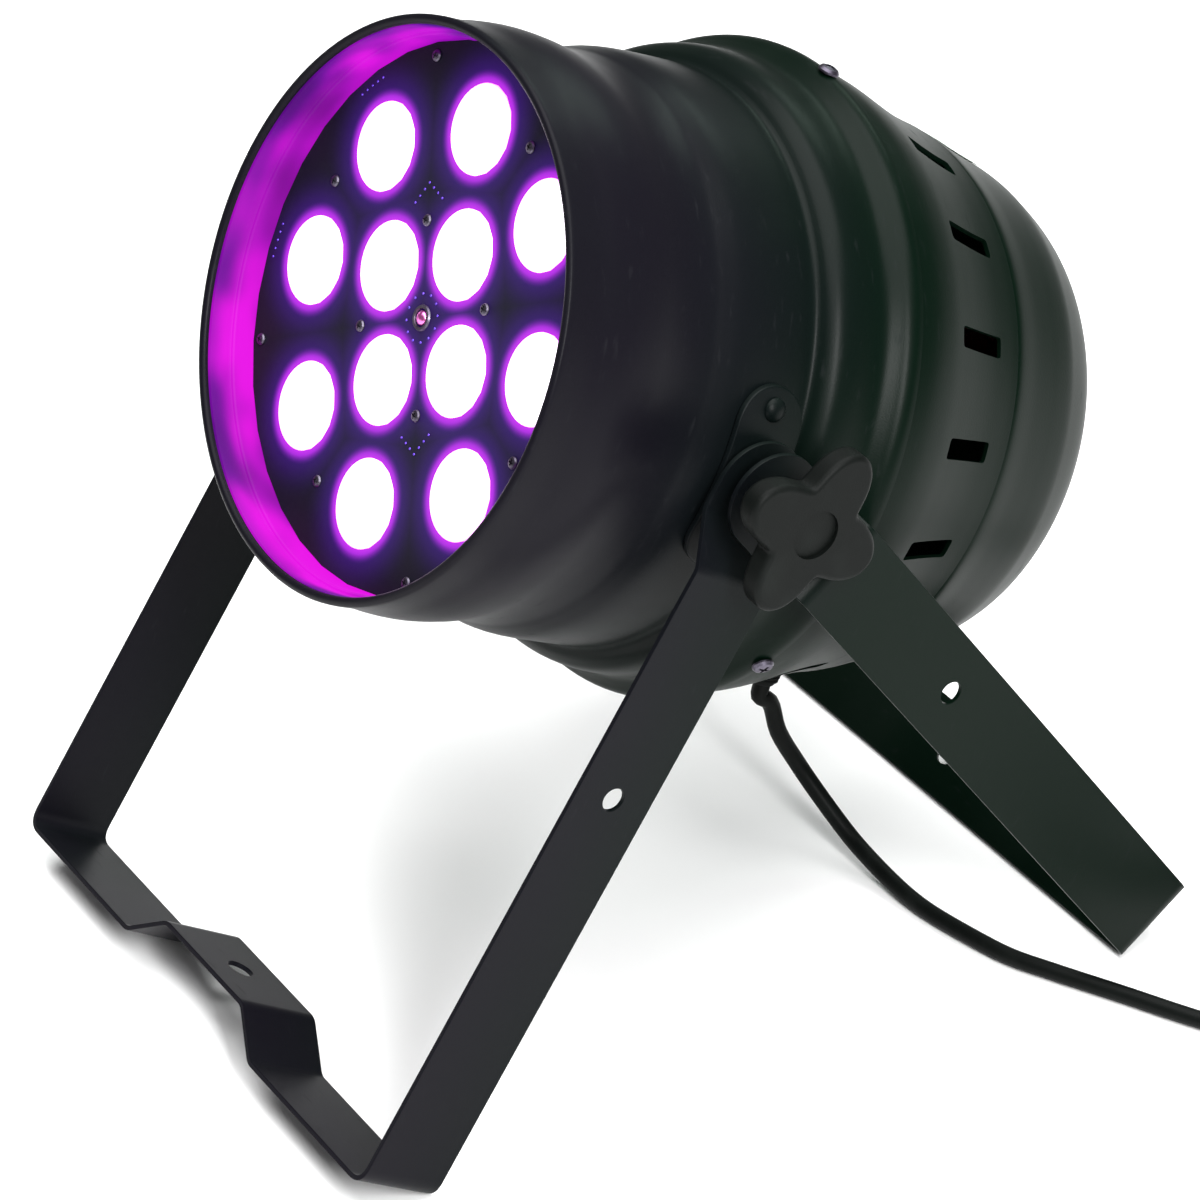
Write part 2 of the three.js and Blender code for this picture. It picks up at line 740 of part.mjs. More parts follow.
const can = new THREE.Group();
can.rotation.x = -THREE.MathUtils.degToRad(canTilt);
can.add(
  piece('front_shell', blackPaint, shellGeometry()),
  piece('front_sleeve', blackPaint, sleeveGeometry()),
  piece('led_panel', blackPanel, panelGeometry()),
  ...lenses(),
  piece('sensor_dome', clearLens, turned([[0, -1.6], [2, -1.2], [3, 0], [3, 4], [0, 4]], 12)
    .translate(0, panelStation, 0)),
  piece('led_board', boardGreen, boardGeometry()),
  piece('heat_sink', aluminium, heatSinkGeometry()),
  piece('power_supply', aluminium, powerSupplyGeometry()),
  piece('rear_drum', blackPaint, drumGeometry()),
  piece('rear_cap', blackPaint, capGeometry()),
  piece('rear_plate', blackPaint, backPlateGeometry()),
  piece('display', smokedWindow, boxAt(displayWidth, 6, displayHeight, 0, plateFace - 2.6, displayRise)),
  ...menuButtons(),
  piece('dmx_input', zinc, dmxInputGeometry()),
  piece('dmx_output', zinc, dmxOutputGeometry()),
  piece('rating_label', labelWhite, labelGeometry()),
  piece('cable_gland', blackPlastic, glandGeometry()),
  ...flangeScrews(),
  ...mountRivets(),
);
light.add(can);

for (const [side, sign] of pivotSides) {
  const pivot = new THREE.Group();
  pivot.rotation.y = sign > 0 ? 0 : Math.PI;
  for (const [name, look, geometry] of pivotPieces()) {
    pivot.add(piece(`${side}_${name}`, look, geometry));
  }
  can.add(pivot);
}

const frontBracket = piece('front_bracket', blackPaint, bracketGeometry({
  upperInner: frontUpperInner, lowerInner: frontLowerInner, length: frontLegLength,
  rise: crossbarRise, hookStation: 0,
}));
frontBracket.rotation.x = -THREE.MathUtils.degToRad(frontLegAngle);
const rearBracket = piece('rear_bracket', blackPaint, bracketGeometry({
  upperInner: rearUpperInner, lowerInner: rearLowerInner, length: rearLegLength,
  rise: 0, hookStation: rearHookStation,
}));
rearBracket.rotation.x = rearLegAngle();
light.add(frontBracket, rearBracket);

const assembly = new THREE.Group();
assembly.add(light);
assembly.updateMatrixWorld(true);
const standing = new THREE.Box3().setFromObject(assembly, true);

const glandLead = [gap, cordLead].map((reach) => {
  return can.localToWorld(glandSeat().addScaledVector(glandDirection(), glandLength + reach));
});
const cordPoints = [...glandLead, ...cordRoute.map(([x, y, z]) => new THREE.Vector3(x, y, z))];
const plugLead = [cordLead, gap].map((reach) => plugStart.clone().addScaledVector(plugDirection, -reach));
const tailPoints = [...tailRoute.map(([x, y, z]) => new THREE.Vector3(x, y, z)), ...plugLead];
assembly.add(
  piece('power_cord', blackRubber, cordTube(cordPoints, 26)),
  piece('power_cord_coil', blackRubber, coilGeometry()),
  piece('power_cord_tail', blackRubber, cordTube(tailPoints, 6)),
  piece('mains_plug', blackRubber, plugGeometry()),
);
assembly.position.y = -(standing.min.y + standing.max.y) / 2;

export default assembly;
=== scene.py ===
"""Finished look of a short par can stage light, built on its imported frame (metres, +Z up)."""

import json
import logging
import math
from dataclasses import dataclass, field
from enum import Enum
from typing import Any, Callable, Iterable, Sequence

import bpy
from mathutils import Matrix, Vector

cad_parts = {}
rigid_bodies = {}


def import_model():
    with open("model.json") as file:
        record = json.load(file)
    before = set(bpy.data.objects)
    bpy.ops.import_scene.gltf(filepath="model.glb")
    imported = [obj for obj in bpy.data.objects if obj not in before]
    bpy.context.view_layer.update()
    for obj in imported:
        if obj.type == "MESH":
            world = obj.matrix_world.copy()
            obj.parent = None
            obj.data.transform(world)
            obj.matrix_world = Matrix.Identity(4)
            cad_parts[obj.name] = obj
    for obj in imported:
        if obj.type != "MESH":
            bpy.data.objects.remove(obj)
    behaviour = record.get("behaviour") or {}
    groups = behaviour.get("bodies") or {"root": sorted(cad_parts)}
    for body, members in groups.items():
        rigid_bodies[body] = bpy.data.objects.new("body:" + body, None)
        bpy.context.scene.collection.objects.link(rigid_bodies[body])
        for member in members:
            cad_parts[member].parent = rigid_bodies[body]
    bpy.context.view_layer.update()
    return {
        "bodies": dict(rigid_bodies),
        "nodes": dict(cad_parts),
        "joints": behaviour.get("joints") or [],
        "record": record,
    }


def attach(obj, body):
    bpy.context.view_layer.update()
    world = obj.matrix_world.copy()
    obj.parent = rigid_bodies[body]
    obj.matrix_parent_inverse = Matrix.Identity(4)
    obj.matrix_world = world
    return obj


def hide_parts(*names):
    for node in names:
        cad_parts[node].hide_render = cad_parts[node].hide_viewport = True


logger = logging.getLogger("par_can")

MM = 0.001
PIVOT = Vector((0.0, -0.017685, 0.25817))
CAN_TILT = math.radians(24.3)
CAN = Matrix.Translation(PIVOT) @ Matrix.Rotation(-CAN_TILT, 4, "X")
FLOOR_MIDDLE = Vector((0.0, PIVOT.y, 0.0))
SIDES = {"near": 1, "far": -1}

STUD_HOLE = 4.4

Triple = tuple[float, float, float]
Colour = Triple
Profile = Sequence[tuple[float, float]]


class Slot(Enum):
    """The record's material slots."""

    PAINT = "black_paint"
    PANEL = "panel_black"
    LENS = "clear_lens"
    BOARD = "board_green"
    ALUMINIUM = "bare_aluminium"
    WINDOW = "smoked_window"
    LABEL = "label_white"
    SOCKET = "socket_metal"
    ZINC = "zinc_steel"
    PLASTIC = "black_plastic"
    RUBBER = "cord_rubber"


# ---------------------------------------------------------------- shader recipes


class Wire:
    """A number carried by a node socket, so that shader maths reads as an expression."""

    def __init__(self, recipe: "Recipe", socket: bpy.types.NodeSocket) -> None:
        """Keep the socket and the recipe that it belongs to."""
        self.recipe, self.socket = recipe, socket

    def _math(self, operation: str, *values: Any) -> "Wire":
        """Add one Math node and return its result."""
        sockets = dict(enumerate(values))
        return self.recipe.wire("ShaderNodeMath", {"operation": operation}, sockets)

    def __add__(self, other: Any) -> "Wire":
        """Sum."""
        return self._math("ADD", self, other)

    def __radd__(self, other: Any) -> "Wire":
        """Sum, reflected."""
        return self._math("ADD", other, self)

    def __sub__(self, other: Any) -> "Wire":
        """Difference."""
        return self._math("SUBTRACT", self, other)

    def __rsub__(self, other: Any) -> "Wire":
        """Difference, reflected."""
        return self._math("SUBTRACT", other, self)

    def __mul__(self, other: Any) -> "Wire":
        """Product."""
        return self._math("MULTIPLY", self, other)

    def __rmul__(self, other: Any) -> "Wire":
        """Product, reflected."""
        return self._math("MULTIPLY", other, self)

    def __mod__(self, other: Any) -> "Wire":
        """Remainder, never negative."""
        return self._math("FLOORED_MODULO", self, other)

    def cosine(self) -> "Wire":
        """Cosine of an angle in radians."""
        return self._math("COSINE", self)

    def at_most(self, other: Any) -> "Wire":
        """The smaller of the two."""
        return self._math("MINIMUM", self, other)

    def at_least(self, other: Any) -> "Wire":
        """The larger of the two."""
        return self._math("MAXIMUM", self, other)

    def root(self) -> "Wire":
        """Square root."""
        return self._math("SQRT", self)

    def angle_of(self, other: "Wire") -> "Wire":
        """Angle of the point (other, self)."""
        return self._math("ARCTAN2", self, other)

    def eased(self, start: float, end: float) -> "Wire":
        """0 at start and 1 at end, smooth in between.

        Args:
            start: Value that gives 0.
            end: Value that gives 1.

        Returns:
            The eased value.
        """
        settings = {"interpolation_type": "SMOOTHSTEP"}
        sockets = {"Value": self, "From Min": start, "From Max": end}
        return self.recipe.wire("ShaderNodeMapRange", settings, sockets)


class Recipe:
    """One node material, written step by step."""

    def __init__(self, name: str) -> None:
        """Start an empty material with one shader.

        Args:
            name: The material's name.
        """
        self.material = bpy.data.materials.new(name)
        self.material.use_nodes = True
        self.tree = self.material.node_tree
        self.tree.nodes.clear()
        self.shader = self.node("ShaderNodeBsdfPrincipled")
        self.node("ShaderNodeOutputMaterial", sockets={"Surface": self.shader.outputs[0]})

    def node(self, kind: str, settings: dict | None = None, sockets: dict | None = None) -> Any:
        """Add a node.

        Args:
            kind: The node's type.
            settings: Its settings, a ramp's stops among them.
            sockets: Values or links by socket name or number.

        Returns:
            The node.
        """
        made = self.tree.nodes.new(kind)
        for key, value in (settings or {}).items():
            if key == "stops":
                ramp = made.color_ramp
                for index, (place, colour) in enumerate(value):
                    stops = ramp.elements
                    stop = stops[index] if index < len(stops) else stops.new(place)
                    stop.position, stop.color = place, (*colour, 1)
            else:
                setattr(made, key, value)
        for key, value in (sockets or {}).items():
            self.feed(made.inputs[key], value)
        return made

    def feed(self, socket: bpy.types.NodeSocket, value: Any) -> None:
        """Link a socket, or set it if the value is a plain number or colour.

        Args:
            socket: The socket to feed.
            value: A link, a number or a colour.
        """
        if isinstance(value, Wire):
            value = value.socket
        if isinstance(value, bpy.types.NodeSocket):
            self.tree.links.new(value, socket)
        elif socket.type == "RGBA" and len(value) == 3:
            socket.default_value = (*value, 1)
        else:
            socket.default_value = value

    def wire(self, kind: str, settings: dict, sockets: dict, output: Any = 0) -> Wire:
        """Add a node and return one of its outputs as a wire."""
        return Wire(self, self.node(kind, settings, sockets).outputs[output])

    def place(self, on_can: bool = True) -> Any:
        """Position on the piece, in the can's own frame or as it stands.

        Args:
            on_can: Whether the place is in the can's own frame.

        Returns:
            The place's socket.
        """
        place = self.node("ShaderNodeTexCoord").outputs["Object"]
        if not on_can:
            return place
        sockets = {"Vector": place, "Location": PIVOT, "Rotation": (-CAN_TILT, 0, 0)}
        return self.node("ShaderNodeMapping", {"vector_type": "TEXTURE"}, sockets).outputs[0]

    def split(self, vector: Any) -> tuple[Wire, Wire, Wire]:
        """The three parts of a vector."""
        parts = self.node("ShaderNodeSeparateXYZ", sockets={0: vector}).outputs
        return Wire(self, parts[0]), Wire(self, parts[1]), Wire(self, parts[2])

    def noise(self, vector: Any, scale: float, detail: float = 2.0) -> Wire:
        """Soft noise about 0.5, with this many swells in a metre."""
        sockets = {"Vector": vector, "Scale": scale, "Detail": detail}
        return self.wire("ShaderNodeTexNoise", {}, sockets)

    def stretched(self, vector: Any, scale: Triple) -> Any:
        """A vector scaled by axis."""
        return self.node("ShaderNodeMapping", sockets={"Vector": vector, "Scale": scale}).outputs[0]

    def blend(self, factor: Any, low: Any, high: Any, how: str = "MIX") -> Any:
        """Mix two colours.

        Args:
            factor: Share of the second colour.
            low: First colour.
            high: Second colour.
            how: The kind of mix.

        Returns:
            The colour's socket.
        """
        settings = {"data_type": "RGBA", "blend_type": how}
        return self.node("ShaderNodeMix", settings, {0: factor, 6: low, 7: high}).outputs[2]

    def relief(self, height: Wire, depth: float, strength: float = 1.0) -> Any:
        """Bump from a height of 0 to 1, which stands depth metres tall."""
        sockets = {"Height": height, "Distance": depth, "Strength": strength}
        return self.node("ShaderNodeBump", sockets=sockets).outputs[0]

    def dress(self, **inputs: Any) -> bpy.types.Material:
        """Feed the shader's sockets, named with underscores, and return the material.

        Args:
            inputs: Values or links by the socket's name.

        Returns:
            The material.
        """
        for key, value in inputs.items():
            self.feed(self.shader.inputs[key.replace("_", " ")], value)
        return self.material


# ---------------------------------------------------------------- finishes

MADE: dict[str, bpy.types.Material] = {}


@dataclass(frozen=True)
class Finish:
    """A surface finish, which makes its material once."""

    name: str

    def material(self) -> bpy.types.Material:
        """The finish's material.

        Returns:
            The material, made on the first call.
        """
        if self.name not in MADE:
            MADE[self.name] = self.write(Recipe(self.name))
        return MADE[self.name]

    def write(self, recipe: Recipe) -> bpy.types.Material:
        """Write the finish's nodes."""
        raise NotImplementedError


@dataclass(frozen=True)
class PowderCoat(Finish):
    """Satin black powder coat: fine orange peel, faint dust with a painted greenish top light on
    upward faces, and a tint that turns rearwards.
    """

    front: Colour = (0.0042, 0.0037, 0.0062)
    rear: Colour = (0.0006, 0.0042, 0.002)
    gloss: float = 0.31

    def write(self, recipe: Recipe) -> bpy.types.Material:
        """Write the coat's nodes.

        Args:
            recipe: The material to write.

        Returns:
            The material.
        """
        place = recipe.place()
        station = recipe.split(place)[1]
        cloud = recipe.noise(place, 14, 3)
        peel = recipe.noise(place, 1500, 1)
        scuff = recipe.noise(recipe.stretched(place, (90, 400, 90)), 1, 4).eased(0.62, 0.78)
        tint = recipe.blend((station + cloud * 0.03).eased(-0.05, 0.075), self.front, self.rear)
        # Painted top light: upward faces turn lighter and greener in cloudy patches, partly faint
        # dust and partly painted light from above.
        rising = recipe.split(recipe.node("ShaderNodeNewGeometry").outputs["Normal"])[2]
        dust_and_top_light = (rising.eased(0.3, 1.0) * cloud.eased(0.4, 0.75)) * 0.25
        colour = recipe.blend(dust_and_top_light, tint, (0.009, 0.014, 0.011))
        colour = recipe.blend(scuff * 0.14, colour, (0.022, 0.023, 0.026))
        rough = self.gloss + cloud * 0.09 + peel * 0.05 + scuff * 0.1
        return recipe.dress(
            Base_Color=colour, Roughness=rough, Specular_IOR_Level=0.07,
            Normal=recipe.relief(peel, 0.00006, 0.5),
        )


@dataclass(frozen=True)
class LensPattern:
    """Where the lenses stand on the panel: an outer and an inner circle."""

    turn: float = math.radians(30)
    outer: float = 0.072
    inner: float = 0.030

    def spots(self) -> list[tuple[float, float]]:
        """(circle radius, angle) of every lens.

        Returns:
            The outer circle first, then the inner one.
        """
        ring = [(self.outer, math.radians(22.5 + 45 * k) + self.turn) for k in range(8)]
        core = [(self.inner, math.radians(45 + 90 * k) + self.turn) for k in range(4)]
        return ring + core

    def distance(self, recipe: Recipe) -> Wire:
        """Distance from the nearest lens's centre, across the panel.

        Args:
            recipe: The material that asks.

        Returns:
            The distance in metres.
        """
        x, _, z = recipe.split(recipe.place())
        reach = (x * x + z * z).root()
        angle = z.angle_of(x) - self.turn + 2 * math.pi

        def from_circle(circle: float, pitch: float) -> Wire:
            """Distance from the nearest centre on one circle.

            Args:
                circle: The circle's radius.
                pitch: The angle between centres.

            Returns:
                The distance in metres.
            """
            off = (angle % pitch) - pitch / 2
            square = reach * reach + circle**2 - reach * off.cosine() * (2 * circle)
            return square.at_least(0.0).root()

        return from_circle(self.outer, math.pi / 4).at_most(from_circle(self.inner, math.pi / 2))


PATTERN = LensPattern()


@dataclass(frozen=True)
class GlowingPanel(Finish):
    """Matt black printed board, lit violet around each lens."""

    halo: Colour = (0.66, 0.03, 1.0)

    def write(self, recipe: Recipe) -> bpy.types.Material:
        """Write the board's nodes.

        Args:
            recipe: The material to write.

        Returns:
            The material.
        """
        place = recipe.place()
        away = PATTERN.distance(recipe)
        close = 1.0 - away.eased(0.0162, 0.0225)
        wide = 1.0 - away.eased(0.016, 0.04)
        speck = recipe.noise(place, 900, 2)
        glow = recipe.blend(close, (0.1, 0.006, 0.46), self.halo)
        glow = recipe.blend((close + wide * wide * 0.4).at_most(1.0), (0.0, 0.0, 0.003), glow)
        base = recipe.blend(speck, (0.004, 0.004, 0.007), (0.009, 0.009, 0.014))
        return recipe.dress(
            Base_Color=base, Roughness=0.45 + speck * 0.12, Emission_Color=glow,
            Emission_Strength=0.9, Specular_IOR_Level=0.1,
            Normal=recipe.relief(speck, 0.00004, 0.4),
        )


@dataclass(frozen=True)
class GlowingWall(Finish):
    """The recess's black wall, washed magenta by the lenses and violet towards the top."""

    violet: Colour = (0.1, 0.004, 0.62)
    magenta: Colour = (0.86, 0.004, 0.84)

    def write(self, recipe: Recipe) -> bpy.types.Material:
        """Write the wall's nodes.

        Args:
            recipe: The material to write.

        Returns:
            The material.
        """
        place = recipe.place()
        x, station, z = recipe.split(place)
        swell = recipe.noise(recipe.stretched(place, (16, 30, 16)), 1, 2)
        drift = (swell - 0.5) * 0.022
        inner = (station + drift).eased(-0.0945, -0.084)
        low = (z * -0.7 - x * 0.9 + swell * 0.05).eased(-0.07, 0.11)
        warmth = inner * 0.35 + low * 0.35 + swell.eased(0.42, 0.58) * 0.3
        hue = recipe.blend(warmth, self.violet, self.magenta)
        streak = swell.eased(0.3, 0.62) * 0.7 + 0.3
        glow = recipe.blend((inner * 0.35 + 0.65) * streak, (0.03, 0.0, 0.09), hue)
        return recipe.dress(
            Base_Color=(0.006, 0.002, 0.008), Roughness=0.5 + swell * 0.1, Specular_IOR_Level=0.06,
            Emission_Color=glow, Emission_Strength=0.95,
        )


@dataclass(frozen=True)
class LitLens(Finish):
    """A clear domed lens with its light on: white, magenta at the rim, chips faint inside."""

    def write(self, recipe: Recipe) -> bpy.types.Material:
        """Write the lens's nodes.

        Args:
            recipe: The material to write.

        Returns:
            The material.
        """
        away = PATTERN.distance(recipe)
        place = recipe.place()
        chips = recipe.noise(place, 330, 1).eased(0.5, 0.57) * (1.0 - away.eased(0.0035, 0.0095))
        rim = away.eased(0.0145, 0.0169)
        glow = recipe.blend(rim, (1.0, 0.93, 1.0), (0.95, 0.28, 1.0))
        glow = recipe.blend(chips * 0.9, glow, (0.2, 0.16, 0.2))
        return recipe.dress(
            Base_Color=(0.9, 0.86, 0.95), Roughness=0.08 + rim * 0.1,
            Emission_Color=glow, Emission_Strength=2.6, Coat_Weight=0.5,
        )


@dataclass(frozen=True)
class Metal(Finish):
    """Bare or plated metal with fine turning or rolling marks and faint stains."""

    tone: Colour = (0.62, 0.61, 0.57)
    stain: Colour = (0.42, 0.38, 0.28)
    rough: float = 0.26
    marks: Triple = (900, 60, 900)

    def write(self, recipe: Recipe) -> bpy.types.Material:
        """Write the metal's nodes.

        Args:
            recipe: The material to write.

        Returns:
            The material.
        """
        place = recipe.place()
        line = recipe.noise(recipe.stretched(place, self.marks), 1, 3)
        patch = recipe.noise(place, 120, 3)
        colour = recipe.blend(patch.eased(0.45, 0.75) * 0.6, self.tone, self.stain)
        return recipe.dress(
            Base_Color=colour, Metallic=1.0, Roughness=self.rough + line * 0.14 + patch * 0.08,
            Normal=recipe.relief(line, 0.00003, 0.5),
        )


@dataclass(frozen=True)
class Moulded(Finish):
    """Moulded plastic or rubber with a fine grain and a little dust."""

    tone: Colour = (0.0026, 0.0034, 0.003)
    worn: Colour = (0.009, 0.011, 0.01)
    rough: float = 0.42
    grain: float = 1700.0
    relief: float = 0.00008

    def write(self, recipe: Recipe) -> bpy.types.Material:
        """Write the plastic's nodes.

        Args:
            recipe: The material to write.

        Returns:
            The material.
        """
        place = recipe.place(on_can=False)
        grain = recipe.noise(place, self.grain, 2)
        cloud = recipe.noise(place, 45, 3)
        colour = recipe.blend(cloud.eased(0.45, 0.8) * 0.5, self.tone, self.worn)
        return recipe.dress(
            Base_Color=colour, Roughness=self.rough + cloud * 0.12 + grain * 0.06,
            Specular_IOR_Level=0.08, Normal=recipe.relief(grain, self.relief, 0.6),
        )


@dataclass(frozen=True)
class CircuitBoard(Finish):
    """Green circuit board with copper runs under the mask."""

    def write(self, recipe: Recipe) -> bpy.types.Material:
        """Write the board's nodes.

        Args:
            recipe: The material to write.

        Returns:
            The material.
        """
        place = recipe.place()
        runs = recipe.wire("ShaderNodeTexVoronoi", {"distance": "MANHATTAN", "feature": "F1"},
                           {"Vector": place, "Scale": 160.0})
        line = runs.eased(0.3, 0.42)
        colour = recipe.blend(line, (0.012, 0.05, 0.022), (0.03, 0.12, 0.05))
        return recipe.dress(Base_Color=colour, Roughness=0.35 + line * 0.15,
                            Normal=recipe.relief(line, 0.00005))


@dataclass(frozen=True)
class SmokedWindow(Finish):
    """Dark red display window, glossy with fine scratches."""

    def write(self, recipe: Recipe) -> bpy.types.Material:
        """Write the window's nodes.

        Args:
            recipe: The material to write.

        Returns:
            The material.
        """
        place = recipe.place()
        scratch = recipe.noise(recipe.stretched(place, (1400, 60, 200)), 1, 2).eased(0.6, 0.75)
        colour = recipe.blend(scratch * 0.3, (0.022, 0.002, 0.003), (0.05, 0.02, 0.02))
        return recipe.dress(Base_Color=colour, Roughness=0.08 + scratch * 0.15, Coat_Weight=0.6)


@dataclass(frozen=True)
class PaperLabel(Finish):
    """Blank paper label with faint printed rules and curled, dusty patches."""

    def write(self, recipe: Recipe) -> bpy.types.Material:
        """Write the label's nodes.

        Args:
            recipe: The material to write.

        Returns:
            The material.
        """
        place = recipe.place()
        _, station, _ = recipe.split(place)
        rule = ((station % 0.0052) - 0.0026).eased(0.0016, 0.002)
        fibre = recipe.noise(place, 800, 3)
        cloud = recipe.noise(place, 90, 3)
        colour = recipe.blend(rule * 0.55, (0.74, 0.8, 0.75), (0.38, 0.52, 0.43))
        colour = recipe.blend(cloud.eased(0.5, 0.8) * 0.4, colour, (0.5, 0.56, 0.5))
        return recipe.dress(Base_Color=colour, Roughness=0.5 + fibre * 0.15,
                            Normal=recipe.relief(fibre, 0.00004, 0.4))


COAT = PowderCoat("powder_coat")
PANEL = GlowingPanel("lit_panel")
WALL = GlowingWall("lit_recess")
LENS = LitLens("lit_lens")
ZINC = Metal("zinc_plate")
ALUMINIUM = Metal("mill_aluminium", tone=(0.5, 0.51, 0.52), stain=(0.34, 0.35, 0.36), rough=0.4)
NICKEL = Metal("nickel_socket", tone=(0.5, 0.51, 0.53), stain=(0.3, 0.31, 0.33), rough=0.2)
DARK_STEEL = Metal("black_oxide", tone=(0.11, 0.1, 0.13), stain=(0.05, 0.04, 0.06), rough=0.3)
SOLDER = Metal("violet_lit_solder", tone=(0.16, 0.08, 0.62), stain=(0.08, 0.03, 0.4), rough=0.35)
LIT_BEAD = Metal("pink_lit_bead", tone=(0.95, 0.22, 0.62), stain=(0.6, 0.12, 0.5), rough=0.18)
BRASS = Metal("brass_pin", tone=(0.62, 0.47, 0.24), stain=(0.35, 0.24, 0.1), rough=0.24)
PLASTIC = Moulded("moulded_black")
RUBBER = Moulded("rubber_sheath", tone=(0.0022, 0.003, 0.0026), rough=0.38, grain=2600.0)
INSERT = Moulded("socket_insert", tone=(0.004, 0.004, 0.005), rough=0.5)
BOARD = CircuitBoard("circuit_board")
WINDOW = SmokedWindow("display_window")
LABEL = PaperLabel("blank_label")


# ---------------------------------------------------------------- the modelling bench


def deselect() -> None:
    """Leave edit mode and select nothing."""
    if bpy.context.object and bpy.context.object.mode != "OBJECT":
        bpy.ops.object.mode_set(mode="OBJECT")
    bpy.ops.object.select_all(action="DESELECT")


def hold(obj: bpy.types.Object) -> None:
    """Select one object alone and make it active.

    Args:
        obj: The object to select.
    """
    deselect()
    obj.select_set(True)
    bpy.context.view_layer.objects.active = obj


def started(name: str) -> bpy.types.Object:
    """Name the primitive that was just added.

    Args:
        name: The object's and the mesh's name.

    Returns:
        The object.
    """
    obj = bpy.context.object
    obj.name = obj.data.name = name
    return obj


def smooth_line(points: Profile, steps: int = 4) -> list[tuple[float, float]]:
    """A smooth line through the points.

    Args:
        points: The points it passes through.
        steps: Spans between one point and the next.

    Returns:
        The finer line.
    """
    ends = [points[0], *points, points[-1]]
    line = []
    for a, b, c, d in zip(ends, ends[1:], ends[2:], ends[3:]):
        for k in range(steps):
            t = k / steps
            line.append(tuple(
                0.5 * (2 * b[i] + (c[i] - a[i]) * t + (2 * a[i] - 5 * b[i] + 4 * c[i] - d[i]) * t**2
                       + (3 * b[i] - a[i] - 3 * c[i] + d[i]) * t**3) for i in (0, 1)))
    return [*line, tuple(points[-1])]


def spun(name: str, profile: Profile, steps: int = 48, closed: bool = False) -> bpy.types.Object:
    """Trace a profile with extruded points and spin it about the Y axis.

    Args:
        name: The piece's name.
        profile: (radius, station) points in millimetres.
        steps: Facets around.
        closed: Whether the profile is a ring that ends where it began.

    Returns:
        The turned piece.
    """
    deselect()
    line = [*profile, profile[0]] if closed else list(profile)
    bpy.ops.mesh.primitive_plane_add(size=MM)
    obj = started(name)
    bpy.ops.object.mode_set(mode="EDIT")
    bpy.ops.mesh.merge(type="CENTER")
    bpy.ops.transform.translate(value=(line[0][0] * MM, line[0][1] * MM, 0))
    for (r0, y0), (r1, y1) in zip(line, line[1:]):
        move = ((r1 - r0) * MM, (y1 - y0) * MM, 0)
        bpy.ops.mesh.extrude_vertices_move(TRANSFORM_OT_translate={"value": move})
    bpy.ops.mesh.select_all(action="SELECT")
    bpy.ops.mesh.spin(steps=steps, angle=2 * math.pi, center=(0, 0, 0), axis=(0, 1, 0))
    bpy.ops.mesh.select_all(action="SELECT")
    bpy.ops.mesh.remove_doubles(threshold=2e-6)
    bpy.ops.mesh.normals_make_consistent(inside=False)
    bpy.ops.object.mode_set(mode="OBJECT")
    return obj


def applied(obj: bpy.types.Object, kind: str, **settings: Any) -> bpy.types.Object:
    """Add a modifier with these settings and apply it.

    Args:
        obj: The piece.
        kind: The modifier's type.
        settings: Its settings.

    Returns:
        The piece.
    """
    hold(obj)
    modifier = obj.modifiers.new(kind.lower(), kind)
    for key, value in settings.items():
        setattr(modifier, key, value)
    bpy.ops.object.modifier_apply(modifier=modifier.name)
    return obj


def bevelled(obj: bpy.types.Object, width: float, segments: int = 2,
             angle: float = 35) -> bpy.types.Object:
    """Round an object's sharp edges, width in millimetres."""
    return applied(obj, "BEVEL", width=width * MM, segments=segments, limit_method="ANGLE",
                   angle_limit=math.radians(angle), harden_normals=False)


def shaped(obj: bpy.types.Object, tool: bpy.types.Object,
           how: str = "DIFFERENCE") -> bpy.types.Object:
    """Cut, join or keep the common part with a tool, which is used up.

    Args:
        obj: The piece.
        tool: The tool, which is removed.
        how: The kind of Boolean.

    Returns:
        The piece.
    """
    applied(obj, "BOOLEAN", operation=how, object=tool, solver="EXACT")
    bpy.data.objects.remove(tool)
    return obj


def moved(obj: bpy.types.Object, matrix: Matrix) -> bpy.types.Object:
    """Move a piece's mesh and leave its object at the origin.

    Args:
        obj: The piece.
        matrix: Where its mesh goes.

    Returns:
        The piece.
    """
    obj.data.transform(obj.matrix_world)
    obj.matrix_world = Matrix.Identity(4)
    obj.data.transform(matrix)
    obj.data.update()
    return obj


def copied(obj: bpy.types.Object, name: str, matrix: Matrix) -> bpy.types.Object:
    """A copy with its own mesh, moved by a matrix.

    Args:
        obj: The piece to copy.
        name: The copy's name.
        matrix: Where its mesh goes.

    Returns:
        The copy.
    """
    copy = obj.copy()
    copy.data = obj.data.copy()
    copy.name = copy.data.name = name
    bpy.context.scene.collection.objects.link(copy)
    return moved(copy, matrix)


def joined(pieces: Sequence[bpy.types.Object], name: str) -> bpy.types.Object:
    """Join several meshes into one object.

    Args:
        pieces: The meshes to join.
        name: The name of the whole.

    Returns:
        The joined piece.
    """
    hold(pieces[0])
    for piece in pieces[1:]:
        piece.select_set(True)
    bpy.ops.object.join()
    return started(name)


def block(name: str, size: Triple, middle: Triple) -> bpy.types.Object:
    """A box of this size about this middle, in millimetres, its mesh at the origin's frame.

    Args:
        name: The piece's name.
        size: Its sizes along X, Y and Z.
        middle: Its middle.

    Returns:
        The piece.
    """
    deselect()
    bpy.ops.mesh.primitive_cube_add(size=1)
    obj = started(name)
    place = Matrix.Translation(Vector(middle) * MM) @ Matrix.Diagonal((*[s * MM for s in size], 1))
    return moved(obj, place)


